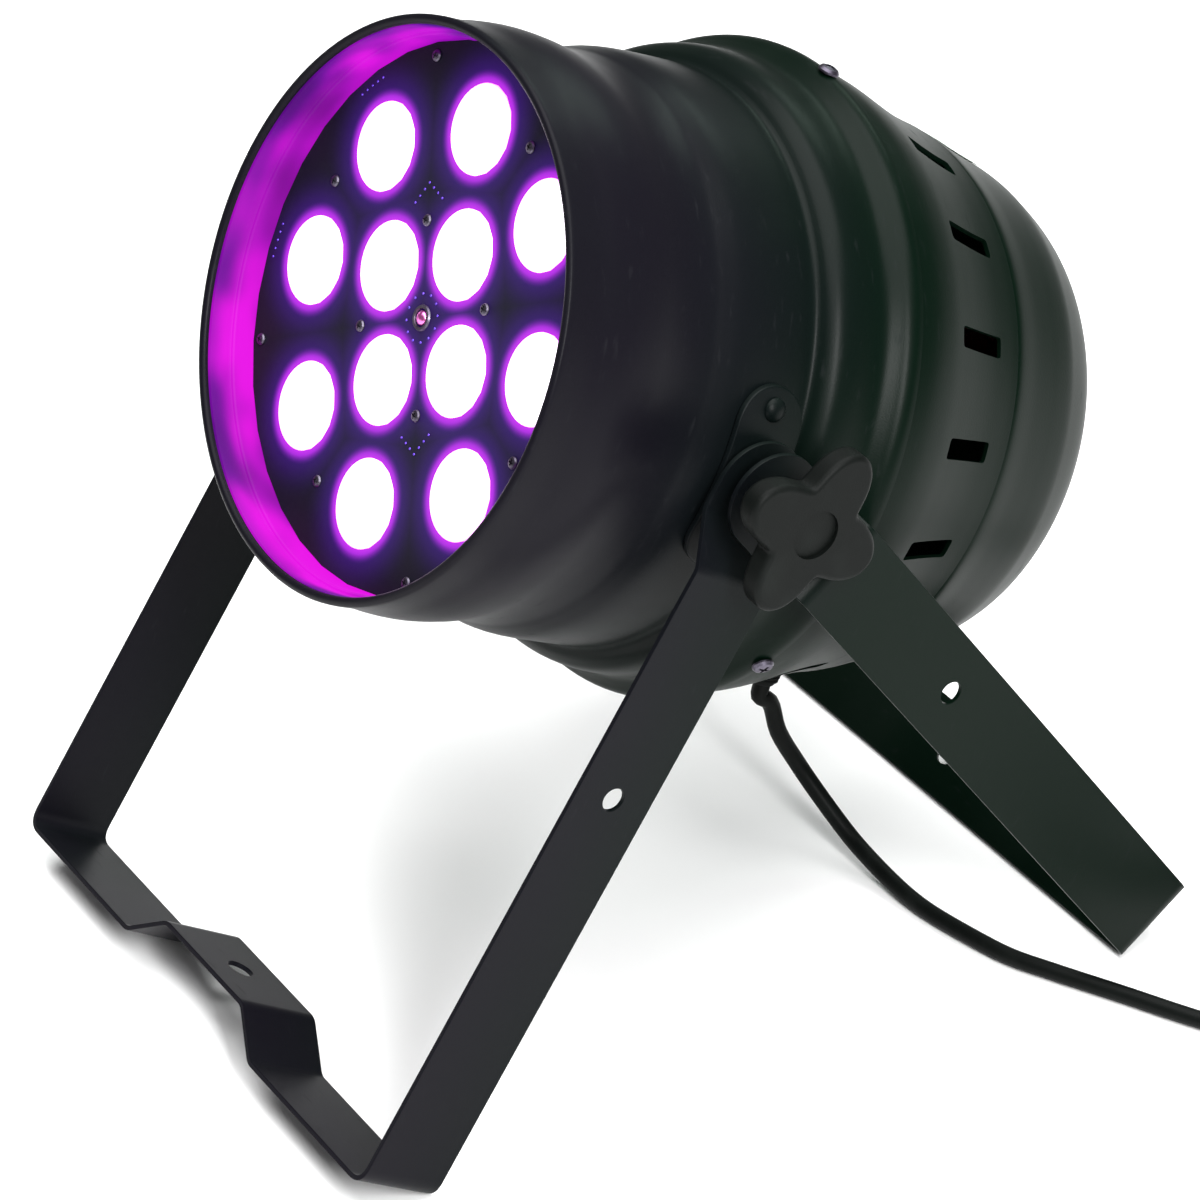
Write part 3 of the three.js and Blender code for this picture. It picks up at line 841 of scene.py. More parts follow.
def stadium(name: str, width: float, height: float, depth: float) -> bpy.types.Object:
    """A prism along X with round ends at top and bottom, in millimetres.

    Args:
        name: The piece's name.
        width: Its width, which is twice the radius of its ends.
        height: Its height over the ends.
        depth: Its length along X.

    Returns:
        The piece.
    """
    deselect()
    half = width / 2 * MM
    bpy.ops.mesh.primitive_cylinder_add(vertices=64, radius=half, depth=depth * MM,
                                        rotation=(0, math.pi / 2, 0))
    obj = moved(started(name), Matrix.Identity(4))
    for sign in (1, -1):
        pick(obj, lambda v, s=sign: v.co.z * s > -1e-7 if s > 0 else v.co.z < -1e-5)
        bpy.ops.transform.translate(value=(0, 0, sign * (height / 2 * MM - half)))
    bpy.ops.object.mode_set(mode="OBJECT")
    return obj


def pick(obj: bpy.types.Object, test: Callable[[Any], bool]) -> None:
    """Go to edit mode with the vertices that pass the test selected.

    Args:
        obj: The piece.
        test: Says whether a vertex is wanted.
    """
    hold(obj)
    for polygon in obj.data.polygons:
        polygon.select = False
    for edge in obj.data.edges:
        edge.select = False
    for vertex in obj.data.vertices:
        vertex.select = test(vertex)
    bpy.ops.object.mode_set(mode="EDIT")
    bpy.ops.mesh.select_mode(type="VERT")


def radial(angle: float, radius: float, station: float) -> Vector:
    """A point of the can, millimetres, angle in radians from +X towards +Z."""
    return Vector((radius * math.cos(angle), station, radius * math.sin(angle))) * MM


def aimed(place: Vector, direction: Vector) -> Matrix:
    """The matrix that stands a Y-axis piece at a place along a direction."""
    return Matrix.Translation(place) @ direction.to_track_quat("Y", "Z").to_matrix().to_4x4()


def settle(obj: bpy.types.Object, finish: Finish, body: str, nodes: Iterable[str] = (),
           angle: float = 32) -> bpy.types.Object:
    """Dress a finished piece, smooth it and let it ride.

    Args:
        obj: The piece, in its place.
        finish: Its finish.
        body: The CAD body it moves with.
        nodes: CAD nodes that it stands for.
        angle: Edges sharper than this, in degrees, stay sharp.

    Returns:
        The piece.
    """
    obj.data.materials.clear()
    obj.data.materials.append(finish.material())
    hold(obj)
    if obj.type == "MESH":
        bpy.ops.object.shade_smooth_by_angle(angle=math.radians(angle))
        applied(obj, "WEIGHTED_NORMAL", keep_sharp=True)
    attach(obj, body)
    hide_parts(*nodes)
    logger.info("made %s", obj.name)
    return obj


def dressed(node: str, finish: Finish) -> None:
    """Give a CAD node that keeps its shape a better material.

    Args:
        node: The CAD node's name.
        finish: Its finish.
    """
    obj = FRAME["nodes"][node]
    obj.data.materials.clear()
    obj.data.materials.append(finish.material())
    for polygon in obj.data.polygons:
        polygon.material_index = 0
    logger.info("dressed %s", node)


FRAME: dict[str, Any] = {}


# ---------------------------------------------------------------- studio


@dataclass
class Studio:
    """Camera, floor and soft lights."""

    eye: Vector = field(default_factory=lambda: PIVOT + Vector((1.2584, -0.8330, 0.8457)))
    gaze: Vector = field(default_factory=lambda: Vector((-0.70045, 0.47157, -0.53572)))
    roll: float = math.radians(2.18)
    lens: float = 138.58
    floor_size: float = 30.0
    surround: float = 0.2
    lamps: tuple = (
        ("key", (2.3, -0.6, 1.9), (0.45, 1.5), 110, (1, 1, 1)),
        ("overhead", (0.0, 0.0, 3.2), (3.4, 3.4), 215, (1, 1, 1)),
        ("rim", (-0.9, 1.7, 1.5), (0.9, 0.35), 6, (0.8, 1.0, 0.88)),
    )

    def camera(self) -> None:
        """Stand the camera and make it the scene's."""
        data = bpy.data.cameras.new("camera")
        data.lens, data.sensor_width = self.lens, 36
        data.clip_start, data.clip_end = 0.05, 30
        camera = bpy.data.objects.new("camera", data)
        bpy.context.scene.collection.objects.link(camera)
        ahead = self.gaze.normalized()
        side = ahead.cross(Vector((0, 0, 1))).normalized()
        top = side.cross(ahead)
        right = side * math.cos(self.roll) + top * math.sin(self.roll)
        up = top * math.cos(self.roll) - side * math.sin(self.roll)
        turn = Matrix((right, up, -ahead)).transposed().to_4x4()
        camera.matrix_world = Matrix.Translation(self.eye) @ turn
        bpy.context.scene.camera = camera

    def lamp(self, name: str, place: Vector, size: tuple[float, float], power: float,
             tint: Colour) -> None:
        """Add a soft rectangular light that faces the can.

        Args:
            name: The light's name.
            place: Where it stands.
            size: Its sides.
            power: Its watts.
            tint: Its colour.
        """
        data = bpy.data.lights.new(name, "AREA")
        data.shape, data.size, data.size_y = "RECTANGLE", *size
        data.energy, data.color = power, tint
        lamp = bpy.data.objects.new(name, data)
        bpy.context.scene.collection.objects.link(lamp)
        lamp.location = place
        lamp.rotation_euler = (PIVOT - place).to_track_quat("-Z", "Y").to_euler()

    def build(self) -> None:
        """Make the floor, the lights and the pale surroundings."""
        deselect()
        bpy.ops.mesh.primitive_plane_add(size=self.floor_size, location=(0, 0, -0.0002))
        floor = started("floor")
        recipe = Recipe("pale_floor")
        cloud = recipe.noise(recipe.place(on_can=False), 3, 2)
        floor.data.materials.append(recipe.dress(
            Base_Color=recipe.blend(cloud, (0.93, 0.93, 0.93), (0.95, 0.95, 0.95)), Roughness=0.9))
        world = bpy.data.worlds.new("studio")
        world.use_nodes = True
        background = world.node_tree.nodes["Background"]
        background.inputs["Color"].default_value = (1, 1, 1, 1)
        background.inputs["Strength"].default_value = self.surround
        bpy.context.scene.world = world
        bpy.context.scene.view_settings.view_transform = "Standard"
        for name, place, size, power, tint in self.lamps:
            self.lamp(name, Vector(place), size, power, tint)


# ---------------------------------------------------------------- the can


@dataclass
class CanBody:
    """Spun sheet: front shell with its rolled lip, recess sleeve, vented drum and domed cap."""

    steps: int = 144
    wall: float = 2.0
    lip_roll: float = 1.9
    lip: tuple[float, float] = (108.0, -97.0)
    shell: tuple = (
        (108, -94.6), (108.2, -84), (109.4, -75), (109.9, -66), (109.1, -56), (107.4, -46),
        (106.8, -38), (107.4, -30), (108.8, -25), (110.4, -19), (111.1, -12), (111.3, -2),
        (111.4, 8), (111.5, 15.6), (115.6, 18.6), (118.8, 22.6), (120.2, 28.6), (120.5, 36.6),
        (121.4, 41.6), (124, 45.6), (126.4, 48.6), (127.5, 51.6), (127.4, 54.6),
    )
    drum: tuple = (
        (124.2, 51), (124.5, 57), (124.2, 66), (122.2, 76), (119.2, 86), (116.2, 96), (113.6, 106),
        (111.6, 116), (110.8, 121.4),
    )
    cap: tuple = (
        (110.2, 121.9), (110, 125), (107.2, 135), (104.8, 145), (103, 153), (101.2, 160),
        (99.2, 165), (95, 174), (91.2, 180), (84.4, 187), (77.4, 190.8), (72, 192),
    )
    cap_mouth: tuple = ((66.4, 192), (66, 191.6), (66, 190), (74, 189.8))
    cap_inset: float = 0.6
    sleeve: tuple = (
        (104.2, -93.6), (105.7, -93.6), (105.7, -71), (102.5, -71), (102.5, -83.4),
        (102.9, -84), (103.7, -84.2), (104.1, -84.9),
    )
    slots: int = 18
    slot_turn: float = 13.0
    slot_size: Triple = (30, 27, 8)
    slot_middle: Triple = (116, 96.5, 0)
    slot_corner: float = 1.2
    label_span: tuple[float, float] = (131, 161)
    label_lift: float = 0.7
    label_sheet: float = 0.35
    label_width: float = 40.0
    label_turn: float = 11.0
    screw_turns: tuple = (85, 205, 325)
    screw_seat: tuple[float, float] = (127.9, 52)

    def sheet(self, name: str, outline: Profile, lead: Profile = ()) -> bpy.types.Object:
        """A spun sheet that follows an outline, its inside one wall in.

        Args:
            name: The piece's name.
            outline: The outside, front to back.
            lead: Points that come before the outline.

        Returns:
            The piece.
        """
        line = smooth_line(outline)
        inside = [(r - self.wall, y) for r, y in line[::2]][::-1]
        return spun(name, [*lead, *line, *inside], self.steps, closed=True)

    def build(self) -> None:
        """Make and dress the can's sheets."""
        radius, station = self.lip
        centre = (radius - self.lip_roll, station + self.lip_roll)
        roll = [(centre[0] + self.lip_roll * math.cos(a), centre[1] + self.lip_roll * math.sin(a))
                for a in [math.radians(160 + 20 * k) for k in range(10)]]
        shell = self.sheet("can_front_shell", self.shell, roll)
        settle(moved(shell, CAN), COAT, "can", ["front_shell"])
        sleeve = spun("recess_sleeve", self.sleeve, self.steps, closed=True)
        settle(moved(sleeve, CAN), WALL, "can", ["front_sleeve"])
        drum = self.sheet("vented_drum", self.drum)
        cutters = []
        for k in range(self.slots):
            cutter = block("slot_cutter", self.slot_size, self.slot_middle)
            bevelled(cutter, self.slot_corner, 2)
            turn = -math.radians(self.slot_turn + k * 360 / self.slots)
            cutters.append(moved(cutter, Matrix.Rotation(turn, 4, "Y")))
        shaped(drum, joined(cutters, "slot_cutters"))
        settle(moved(drum, CAN), COAT, "can", ["rear_drum"])
        line = smooth_line(self.cap)
        inside = [(r - self.wall, y - self.cap_inset) for r, y in line[2:-4:3]][::-1]
        cap = spun("domed_cap", [*line, *self.cap_mouth, *inside], self.steps, closed=True)
        settle(moved(cap, CAN), COAT, "can", ["rear_cap"])
        self.label()
        self.screws()

    def label(self) -> None:
        """The blank label, which follows the cap's curve."""
        low, high = self.label_span
        line = [(r + self.label_lift, y) for r, y in smooth_line(self.cap) if low < y < high]
        under = [(r - self.label_sheet, y) for r, y in line[::-1]]
        sheet = spun("blank_rating_label", [*line, *under], self.steps, closed=True)
        patch = block("label_patch", (self.label_width, 60, 60), (0, 145, 120))
        turn = Matrix.Rotation(-math.radians(self.label_turn), 4, "Y")
        shaped(sheet, moved(patch, turn), "INTERSECT")
        settle(moved(sheet, CAN), LABEL, "can", ["rating_label"])

    def screws(self) -> None:
        """Three domed screws through the flange."""
        pattern = cross_screw("flange_screw", 4.2, 2.5, 6)
        for index, degrees in enumerate(self.screw_turns):
            angle = math.radians(degrees)
            place = aimed(radial(angle, *self.screw_seat), radial(angle, 1, 0))
            screw = copied(pattern, f"flange_head_{index + 1}", CAN @ place)
            settle(screw, DARK_STEEL, "can", [f"flange_screw_{index + 1}"])
        bpy.data.objects.remove(pattern)


def cross_screw(name: str, radius: float, height: float, depth: float) -> bpy.types.Object:
    """A pan-head screw about Y with a cross recess, its head towards +Y, in millimetres.

    Args:
        name: The piece's name.
        radius: The head's radius.
        height: The head's height.
        depth: The shank's length.

    Returns:
        The screw.
    """
    head = [(radius, 0), (radius, height * 0.3), (radius * 0.82, height * 0.72),
            (radius * 0.5, height * 0.93), (0, height)]
    screw = spun(name, [(0, -depth), (radius * 0.45, -depth), (radius * 0.45, 0), *head], 24)
    for size in ((radius * 1.1, height, radius * 0.26), (radius * 0.26, height, radius * 1.1)):
        shaped(screw, block("cross", size, (0, height * 0.92, 0)))
    return screw


@dataclass
class LensPanel:
    """The lit face: black board, twelve domed lenses, its screws, pads and centre dome."""

    station: float = -75.0
    dome: tuple = (
        (0, -3.4), (4, -3.25), (8, -2.75), (11.5, -2.0), (14.2, -1.2), (16, -0.6), (16.7, -0.3),
        (16.9, 0), (16.9, 2), (11, 9), (0, 9),
    )
    bead: tuple = ((0, -1.6), (1.2, -1.5), (2.2, -1.0), (2.8, -0.3), (3, 0.6), (3, 4), (0, 4))
    collar: tuple = ((3.4, -0.2), (3.7, -0.9), (4.6, -0.9), (5, -0.2))
    screw_rings: tuple = ((36, 0), (97, 0), (80, 45))
    row_ring: float = 98.0
    row_step: float = 1.9
    centre_ring: float = 9.0
    chevron: tuple[float, float, float] = (50.0, 2.2, 2.6)
    pad: float = 0.55

    def build(self) -> None:
        """Make and dress the lit face."""
        dressed("led_panel", PANEL)
        pattern = spun("lens", self.dome, 48)
        for index, (circle, angle) in enumerate(PATTERN.spots()):
            place = Matrix.Translation(radial(angle, circle / MM, self.station))
            lens = copied(pattern, f"dome_lens_{index + 1:02d}", CAN @ place)
            settle(lens, LENS, "can", [f"lens_{index + 1:02d}"], 50)
        bpy.data.objects.remove(pattern)
        centre = CAN @ Matrix.Translation(Vector((0, self.station * MM, 0)))
        bead = spun("centre_dome", self.bead, 32)
        settle(moved(bead, centre), LIT_BEAD, "can", ["sensor_dome"], 50)
        collar = spun("centre_collar", self.collar, 32, closed=True)
        settle(moved(collar, centre), DARK_STEEL, "can")
        self.screws()
        self.pads()

    def screws(self) -> None:
        """Small cross-head screws in three rings."""
        pattern = cross_screw("panel_screw", 2.3, 1.3, 0.4)
        spots = [(ring, math.radians(start + 90 * k) + PATTERN.turn)
                 for ring, start in self.screw_rings for k in range(4)]
        for index, (ring, angle) in enumerate(spots):
            place = aimed(radial(angle, ring, self.station - 0.05), Vector((0, -1, 0)))
            screw = copied(pattern, f"panel_screw_{index + 1:02d}", CAN @ place)
            settle(screw, DARK_STEEL, "can")
        bpy.data.objects.remove(pattern)

    def pads(self) -> None:
        """Soldered pads: five-dot rows near the edge, chevrons, and a ring at the centre."""
        spots = [(self.row_ring, 112.5 + 45 * k + step * self.row_step)
                 for k in (0, 1, 4, 5) for step in range(-2, 3)]
        spots += [(self.centre_ring, 30.0 * k) for k in range(12)]
        points = [radial(math.radians(a) + PATTERN.turn, r, self.station) for r, a in spots]
        point, drop, pitch = self.chevron
        for side in (90, 270):
            for k in range(-3, 4):
                local = Vector(((point - abs(k) * drop), 0, k * pitch)) * MM
                turn = Matrix.Rotation(-math.radians(side) - PATTERN.turn, 4, "Y")
                points.append(turn @ local + Vector((0, self.station * MM, 0)))
        deselect()
        bpy.ops.mesh.primitive_uv_sphere_add(segments=8, ring_count=5, radius=self.pad * MM)
        pattern = started("pad")
        dots = [copied(pattern, "pad_copy", Matrix.Translation(place)) for place in points]
        bpy.data.objects.remove(pattern)
        pads = joined(dots, "solder_pads")
        settle(moved(pads, CAN), SOLDER, "can", angle=60)


@dataclass
class ControlPlate:
    """The rear plate with its display, buttons and data sockets."""

    face: float = 194.3
    button_pitch: float = 15.0
    button_height: float = 5.0
    spread: float = 27.0
    lower: float = 26.0
    bezel: Triple = (50, 1.4, 26)
    bezel_window: Triple = (44.6, 4, 20.6)
    bezel_middle: tuple[float, float] = (0.75, 30.0)
    key: tuple = (
        (0, -7), (5, -7), (5, -5), (3.5, -5), (3.5, 2.1), (3.3, 2.6), (2.8, 2.9), (1.6, 2.7),
        (0, 2.6),
    )
    cup: tuple = (
        (0, -14), (12, -14), (12, 0.3), (14.7, 0.3), (15, 0.6), (15, 1.6), (14.6, 2), (10, 2),
        (9.6, 1.6), (9.6, -10), (0, -10),
    )
    insert: tuple = ((0, -9.8), (8.2, -9.8), (8.2, 1), (7.8, 1.4), (0, 1.4))
    pin: tuple = ((0, -9.8), (1.2, -9.8), (1.2, -4.9), (0.8, -4.4), (0, -4.3))
    contact_circle: float = 4.2
    contact_turns: tuple = (-90, 30, 150)
    contact_hole: float = 1.4
    screw_circle: float = 63.0

    def build(self) -> None:
        """Make and dress the rear controls."""
        dressed("rear_plate", COAT)
        dressed("display", WINDOW)
        middle = (0, self.face + self.bezel_middle[0], self.bezel_middle[1])
        bezel = block("display_bezel", self.bezel, middle)
        shaped(bezel, block("bezel_cut", self.bezel_window, middle))
        settle(moved(bevelled(bezel, 0.4), CAN), PLASTIC, "can")
        pattern = spun("button", self.key, 32)
        for index in range(4):
            along = (index - 1.5) * self.button_pitch
            seat = Vector((along, self.face, self.button_height)) * MM
            button = copied(pattern, f"button_cap_{index + 1}", CAN @ Matrix.Translation(seat))
            name = f"menu_button_{index + 1}"
            settle(button, PLASTIC, name, [name], 50)
        bpy.data.objects.remove(pattern)
        for name, side in (("dmx_input", -1), ("dmx_output", 1)):
            self.socket(name, side)
        self.plate_screws()

    def socket(self, name: str, side: int) -> None:
        """A round three-pole data socket: metal shell with a flange, contacts and an insert.

        Args:
            name: The CAD node that it stands for.
            side: 1 for the output, -1 for the input.
        """
        place = CAN @ Matrix.Translation(Vector((side * self.spread, self.face, -self.lower)) * MM)
        shell = spun(f"{name}_shell", self.cup, 48)
        settle(moved(shell, place), NICKEL, "can", [name])
        spots = [radial(math.radians(a), self.contact_circle, 0) for a in self.contact_turns]
        if side > 0:
            insert = spun(f"{name}_insert", self.insert, 32)
            for spot in spots:
                deselect()
                bpy.ops.mesh.primitive_cylinder_add(
                    vertices=16, radius=self.contact_hole * MM, depth=9 * MM, location=spot,
                    rotation=(math.pi / 2, 0, 0))
                shaped(insert, moved(started("contact_cut"), Matrix.Identity(4)))
            settle(moved(insert, place), INSERT, "can")
            return
        pins = []
        for spot in spots:
            pins.append(moved(spun("pin", self.pin, 16), Matrix.Translation(spot)))
        settle(moved(joined(pins, f"{name}_pins"), place), BRASS, "can", angle=50)

    def plate_screws(self) -> None:
        """Four screws near the plate's edge."""
        pattern = cross_screw("plate_screw", 2.8, 1.6, 0.3)
        for index in range(4):
            angle = math.radians(45 + 90 * index)
            place = aimed(radial(angle, self.screw_circle, self.face + 0.05), Vector((0, 1, 0)))
            screw = copied(pattern, f"plate_screw_{index + 1}", CAN @ place)
            settle(screw, ZINC, "can")
        bpy.data.objects.remove(pattern)


@dataclass
class Inside:
    """The simplified works, seen only through the slots."""

    def build(self) -> None:
        """Dress the works."""
        dressed("led_board", BOARD)
        dressed("heat_sink", ALUMINIUM)
        dressed("power_supply", ALUMINIUM)


# ---------------------------------------------------------------- pivots and brackets


@dataclass
class PivotSet:
    """Plate, rivets, stud, washers, spacer and clamp knob on one side."""

    side: str
    plate_inner: float = 111.7
    plate_sheet: float = 2.5
    plate_size: tuple[float, float] = (30.0, 72.0)
    washers: tuple = (
        ("inner_washer", 114.5, 2.6), ("spacer", 119.7, 7.0), ("outer_washer", 129.3, 1.6),
    )
    washer_radius: float = 10.0
    washer_edge: float = 0.35
    rivet: tuple = (
        (0, -5), (2.2, -5), (2.2, 0), (4.6, 0), (4.5, 0.5), (3.9, 1.3), (2.8, 2.0), (1.4, 2.4),
        (0, 2.5),
    )
    rivet_seat: float = 114.35
    rivet_rise: float = 27.0
    shell_radius: float = 111.4
    knob_face: float = 131.2
    lobes_face: float = 145.0
    knob_depth: float = 10.0
    lobe: float = 32.5
    valley: float = 19.0
    lobe_shape: float = 0.8
    lobe_turn: float = -15.0
    lobe_edge: float = 3.0
    hub: tuple[float, float] = (10.0, 4.0)
    dish: tuple[float, float] = (9.5, 1.6)
    bore_end: float = 6.3

    def frame(self) -> Matrix:
        """The can's frame, turned half round for the far side."""
        return CAN @ Matrix.Rotation(0 if SIDES[self.side] > 0 else math.pi, 4, "Y")

    def outwards(self, distance: float) -> Matrix:
        """Stand a Y-axis piece on the pivot, this far out."""
        return self.frame() @ aimed(Vector((distance * MM, 0, 0)), Vector((1, 0, 0)))

    def build(self) -> None:
        """Make and dress this side's pieces."""
        self.plate()
        self.rivets()
        dressed(f"{self.side}_pivot_stud", ZINC)
        for name, start, sheet in self.washers:
            rim, edge = self.washer_radius, self.washer_edge
            ring = [(STUD_HOLE, 0), (rim - edge, 0), (rim, edge), (rim, sheet - edge),
                    (rim - edge, sheet), (STUD_HOLE, sheet)]
            node = f"{self.side}_{name}"
            finish, slot = (PLASTIC, Slot.PLASTIC) if name == "spacer" else (ZINC, Slot.ZINC)
            body = node if name == "outer_washer" else "can"
            washer = moved(spun(f"{node}_ring", ring, 48, True), self.outwards(start))
            settle(washer, finish, body, [node])
        self.knob()

    def plate(self) -> None:
        """The curved mounting plate with round ends."""
        inner, outer = self.plate_inner, self.plate_inner + self.plate_sheet
        sheet = spun("band", [(inner, -30), (outer, -30), (outer, 30), (inner, 30)], 144, True)
        prism = stadium("plate_ends", *self.plate_size, 100)
        moved(prism, Matrix.Translation((0.112, 0, 0)))
        plate = shaped(sheet, prism, "INTERSECT")
        plate.name = plate.data.name = f"{self.side}_curved_plate"
        bevelled(plate, 0.6, 3)
        settle(moved(plate, self.frame()), COAT, "can", [f"{self.side}_mount_plate"])

    def rivets(self) -> None:
        """Two domed rivets that hold the plate."""
        pattern = spun("rivet", self.rivet, 32)
        turn = math.asin(self.rivet_rise / self.shell_radius)
        for level, sign in (("upper", 1), ("lower", -1)):
            node = f"{self.side}_rivet_{level}"
            angle = sign * turn
            place = aimed(radial(angle, self.rivet_seat, 0), radial(angle, 1, 0))
            rivet = copied(pattern, f"{node}_dome", self.frame() @ place)
            settle(rivet, COAT, "can", [node], 50)
        bpy.data.objects.remove(pattern)

    def knob(self) -> None:
        """The four-lobed clamp knob with its hub and a blind bore for the stud."""
        deselect()
        bpy.ops.mesh.primitive_circle_add(vertices=128, radius=1, fill_type="NGON")
        star = started(f"{self.side}_star_knob")
        for vertex in star.data.vertices:
            angle = math.atan2(vertex.co.y, vertex.co.x)
            swell = (0.5 + 0.5 * math.cos(4 * angle)) ** self.lobe_shape
            radius = (self.valley + (self.lobe - self.valley) * swell) * MM
            vertex.co = Vector((math.cos(angle), math.sin(angle), 0)) * radius
        bpy.ops.object.mode_set(mode="EDIT")
        bpy.ops.mesh.select_all(action="SELECT")
        move = {"value": (0, 0, self.knob_depth * MM)}
        bpy.ops.mesh.extrude_region_move(TRANSFORM_OT_translate=move)
        bpy.ops.mesh.select_all(action="SELECT")
        bpy.ops.mesh.normals_make_consistent(inside=False)
        bpy.ops.object.mode_set(mode="OBJECT")
        bevelled(star, self.lobe_edge, 4, 60)
        dish_radius, dish_depth = self.dish
        shaped(star, self.turned_tool("dish", dish_radius, self.knob_depth - dish_depth, 4))
        hub_radius, hub_sunk = self.hub
        length = self.lobes_face + hub_sunk - self.knob_face
        hub = self.turned_tool("hub", hub_radius, -(self.lobes_face - self.knob_face), length)
        shaped(star, hub, "UNION")
        shaped(star, self.turned_tool("bore", STUD_HOLE, -30, 30 + self.bore_end))
        spin = Matrix.Rotation(math.radians(self.lobe_turn), 4, "Z")
        upright = Matrix.Rotation(math.pi / 2, 4, "Y")
        place = Matrix.Translation(Vector((self.lobes_face, 0, 0)) * MM)
        lean = Matrix.Rotation(math.pi / 2, 4, "X")
        moved(star, self.frame() @ lean @ place @ upright @ spin)
        node = f"{self.side}_knob"
        settle(star, PLASTIC, node, [node], 40)

    def turned_tool(self, name: str, radius: float, start: float,
                    length: float) -> bpy.types.Object:
        """A round bar along Z for joining or cutting, in millimetres.

        Args:
            name: The piece's name.
            radius: Its radius.
            start: Where it begins.
            length: Its length.

        Returns:
            The piece.
        """
        deselect()
        bpy.ops.mesh.primitive_cylinder_add(vertices=64, radius=radius * MM, depth=length * MM,
                                            location=(0, 0, (start + length / 2) * MM))
        return moved(started(name), Matrix.Identity(4))


@dataclass
class Bracket:
    """A U of steel strip with round ends, joggled legs, and holes."""

    name: str
    swing: float
    upper: float
    lower: float
    length: float
    rise: float
    hook: float
    strip: float = 37.2
    sheet: float = 2.0
    splay: float = 1.8
    bend: float = 7.0
    bend_steps: int = 8
    edge: float = 0.35
    flat: float = 30.0
    slope: float = 19.0
    joggle: tuple[float, float] = (-12.5, -32.0)
    leg_hole: tuple[float, float] = (123.0, 4.6)
    hook_hole: float = 5.3

    def corners(self) -> list[tuple[float, float, float]]:
        """Half the strip's middle line as (x, z, bend radius).

        Returns:
            The corners, from the top of a leg to the middle.
        """
        upper, lower = self.upper + self.sheet / 2, self.lower + self.sheet / 2
        floor = -(self.length - self.sheet / 2)
        half = [(upper, self.strip / 2 + 2, 0), (upper, self.joggle[0], self.bend),
                (lower, self.joggle[1], self.bend), (lower + self.splay, floor, self.bend)]
        if self.rise:
            half += [(self.flat + self.slope, floor, self.bend),
                     (self.flat, floor + self.rise, self.bend)]
        return half

    def line(self) -> list[Vector]:
        """The middle line with its bends rounded.

        Returns:
            The line in millimetres, from one leg to the other.
        """
        half = self.corners()
        ring = half + [(-x, z, r) for x, z, r in reversed(half)]
        line = [Vector(ring[0][:2])]
        for (ax, az, _), (bx, bz, radius), (cx, cz, _) in zip(ring, ring[1:], ring[2:]):
            a, b, c = Vector((ax, az)), Vector((bx, bz)), Vector((cx, cz))
            to_a, to_c = (a - b).normalized(), (c - b).normalized()
            reach = radius / math.tan(math.acos(max(-1, min(1, to_a.dot(to_c)))) / 2)
            start, end = b + to_a * reach, b + to_c * reach
            for k in range(self.bend_steps + 1):
                t = k / self.bend_steps
                line.append(start * (1 - t) ** 2 + b * 2 * t * (1 - t) + end * t**2)
        return [*line, Vector(ring[-1][:2])]

    def build(self) -> None:
        """Fold the strip, round its ends, drill it and dress it."""
        line = [point * MM for point in self.line()]
        half = self.strip / 2 * MM
        deselect()
        bpy.ops.mesh.primitive_plane_add(size=MM)
        obj = started(f"{self.name}_strip")
        bpy.ops.object.mode_set(mode="EDIT")
        bpy.ops.mesh.merge(type="CENTER")
        bpy.ops.transform.translate(value=(line[0].x, -half, line[0].y))
        for a, b in zip(line, line[1:]):
            move = {"value": (b.x - a.x, 0, b.y - a.y)}
            bpy.ops.mesh.extrude_vertices_move(TRANSFORM_OT_translate=move)
        bpy.ops.mesh.select_all(action="SELECT")
        bpy.ops.mesh.extrude_edges_move(TRANSFORM_OT_translate={"value": (0, 2 * half, 0)})
        bpy.ops.object.mode_set(mode="OBJECT")
        applied(obj, "SOLIDIFY", thickness=self.sheet * MM, offset=0, use_even_offset=True)
        ends = stadium("leg_ends", self.strip, 2 * self.length + 40, 400)
        moved(ends, Matrix.Translation(Vector((0, 0, self.strip / 2 - self.length - 20)) * MM))
        shaped(obj, ends, "INTERSECT")
        self.drill(obj, STUD_HOLE, (0, 0, 0), True)
        self.drill(obj, self.leg_hole[1], (0, 0, -self.leg_hole[0]), True)
        self.drill(obj, self.hook_hole, (self.hook, 0, self.rise - self.length), False)
        bevelled(obj, self.edge, 2, 50)
        place = Matrix.Translation(PIVOT) @ Matrix.Rotation(self.swing, 4, "X")
        settle(moved(obj, place), COAT, self.name, [self.name], 40)

    def drill(self, obj: bpy.types.Object, radius: float, at: Triple, across: bool) -> None:
        """Drill a hole through the legs, or upright through the crossbar.

        Args:
            obj: The bracket.
            radius: The hole's radius.
            at: A point on its axis.
            across: Whether it runs through the legs.
        """
        deselect()
        turn = (0, math.pi / 2, 0) if across else (0, 0, 0)
        bpy.ops.mesh.primitive_cylinder_add(
            vertices=48, radius=radius * MM, location=Vector(at) * MM,
            depth=(400 if across else 12) * MM, rotation=turn)
        shaped(obj, moved(started("drill"), Matrix.Identity(4)))


# ---------------------------------------------------------------- mains lead


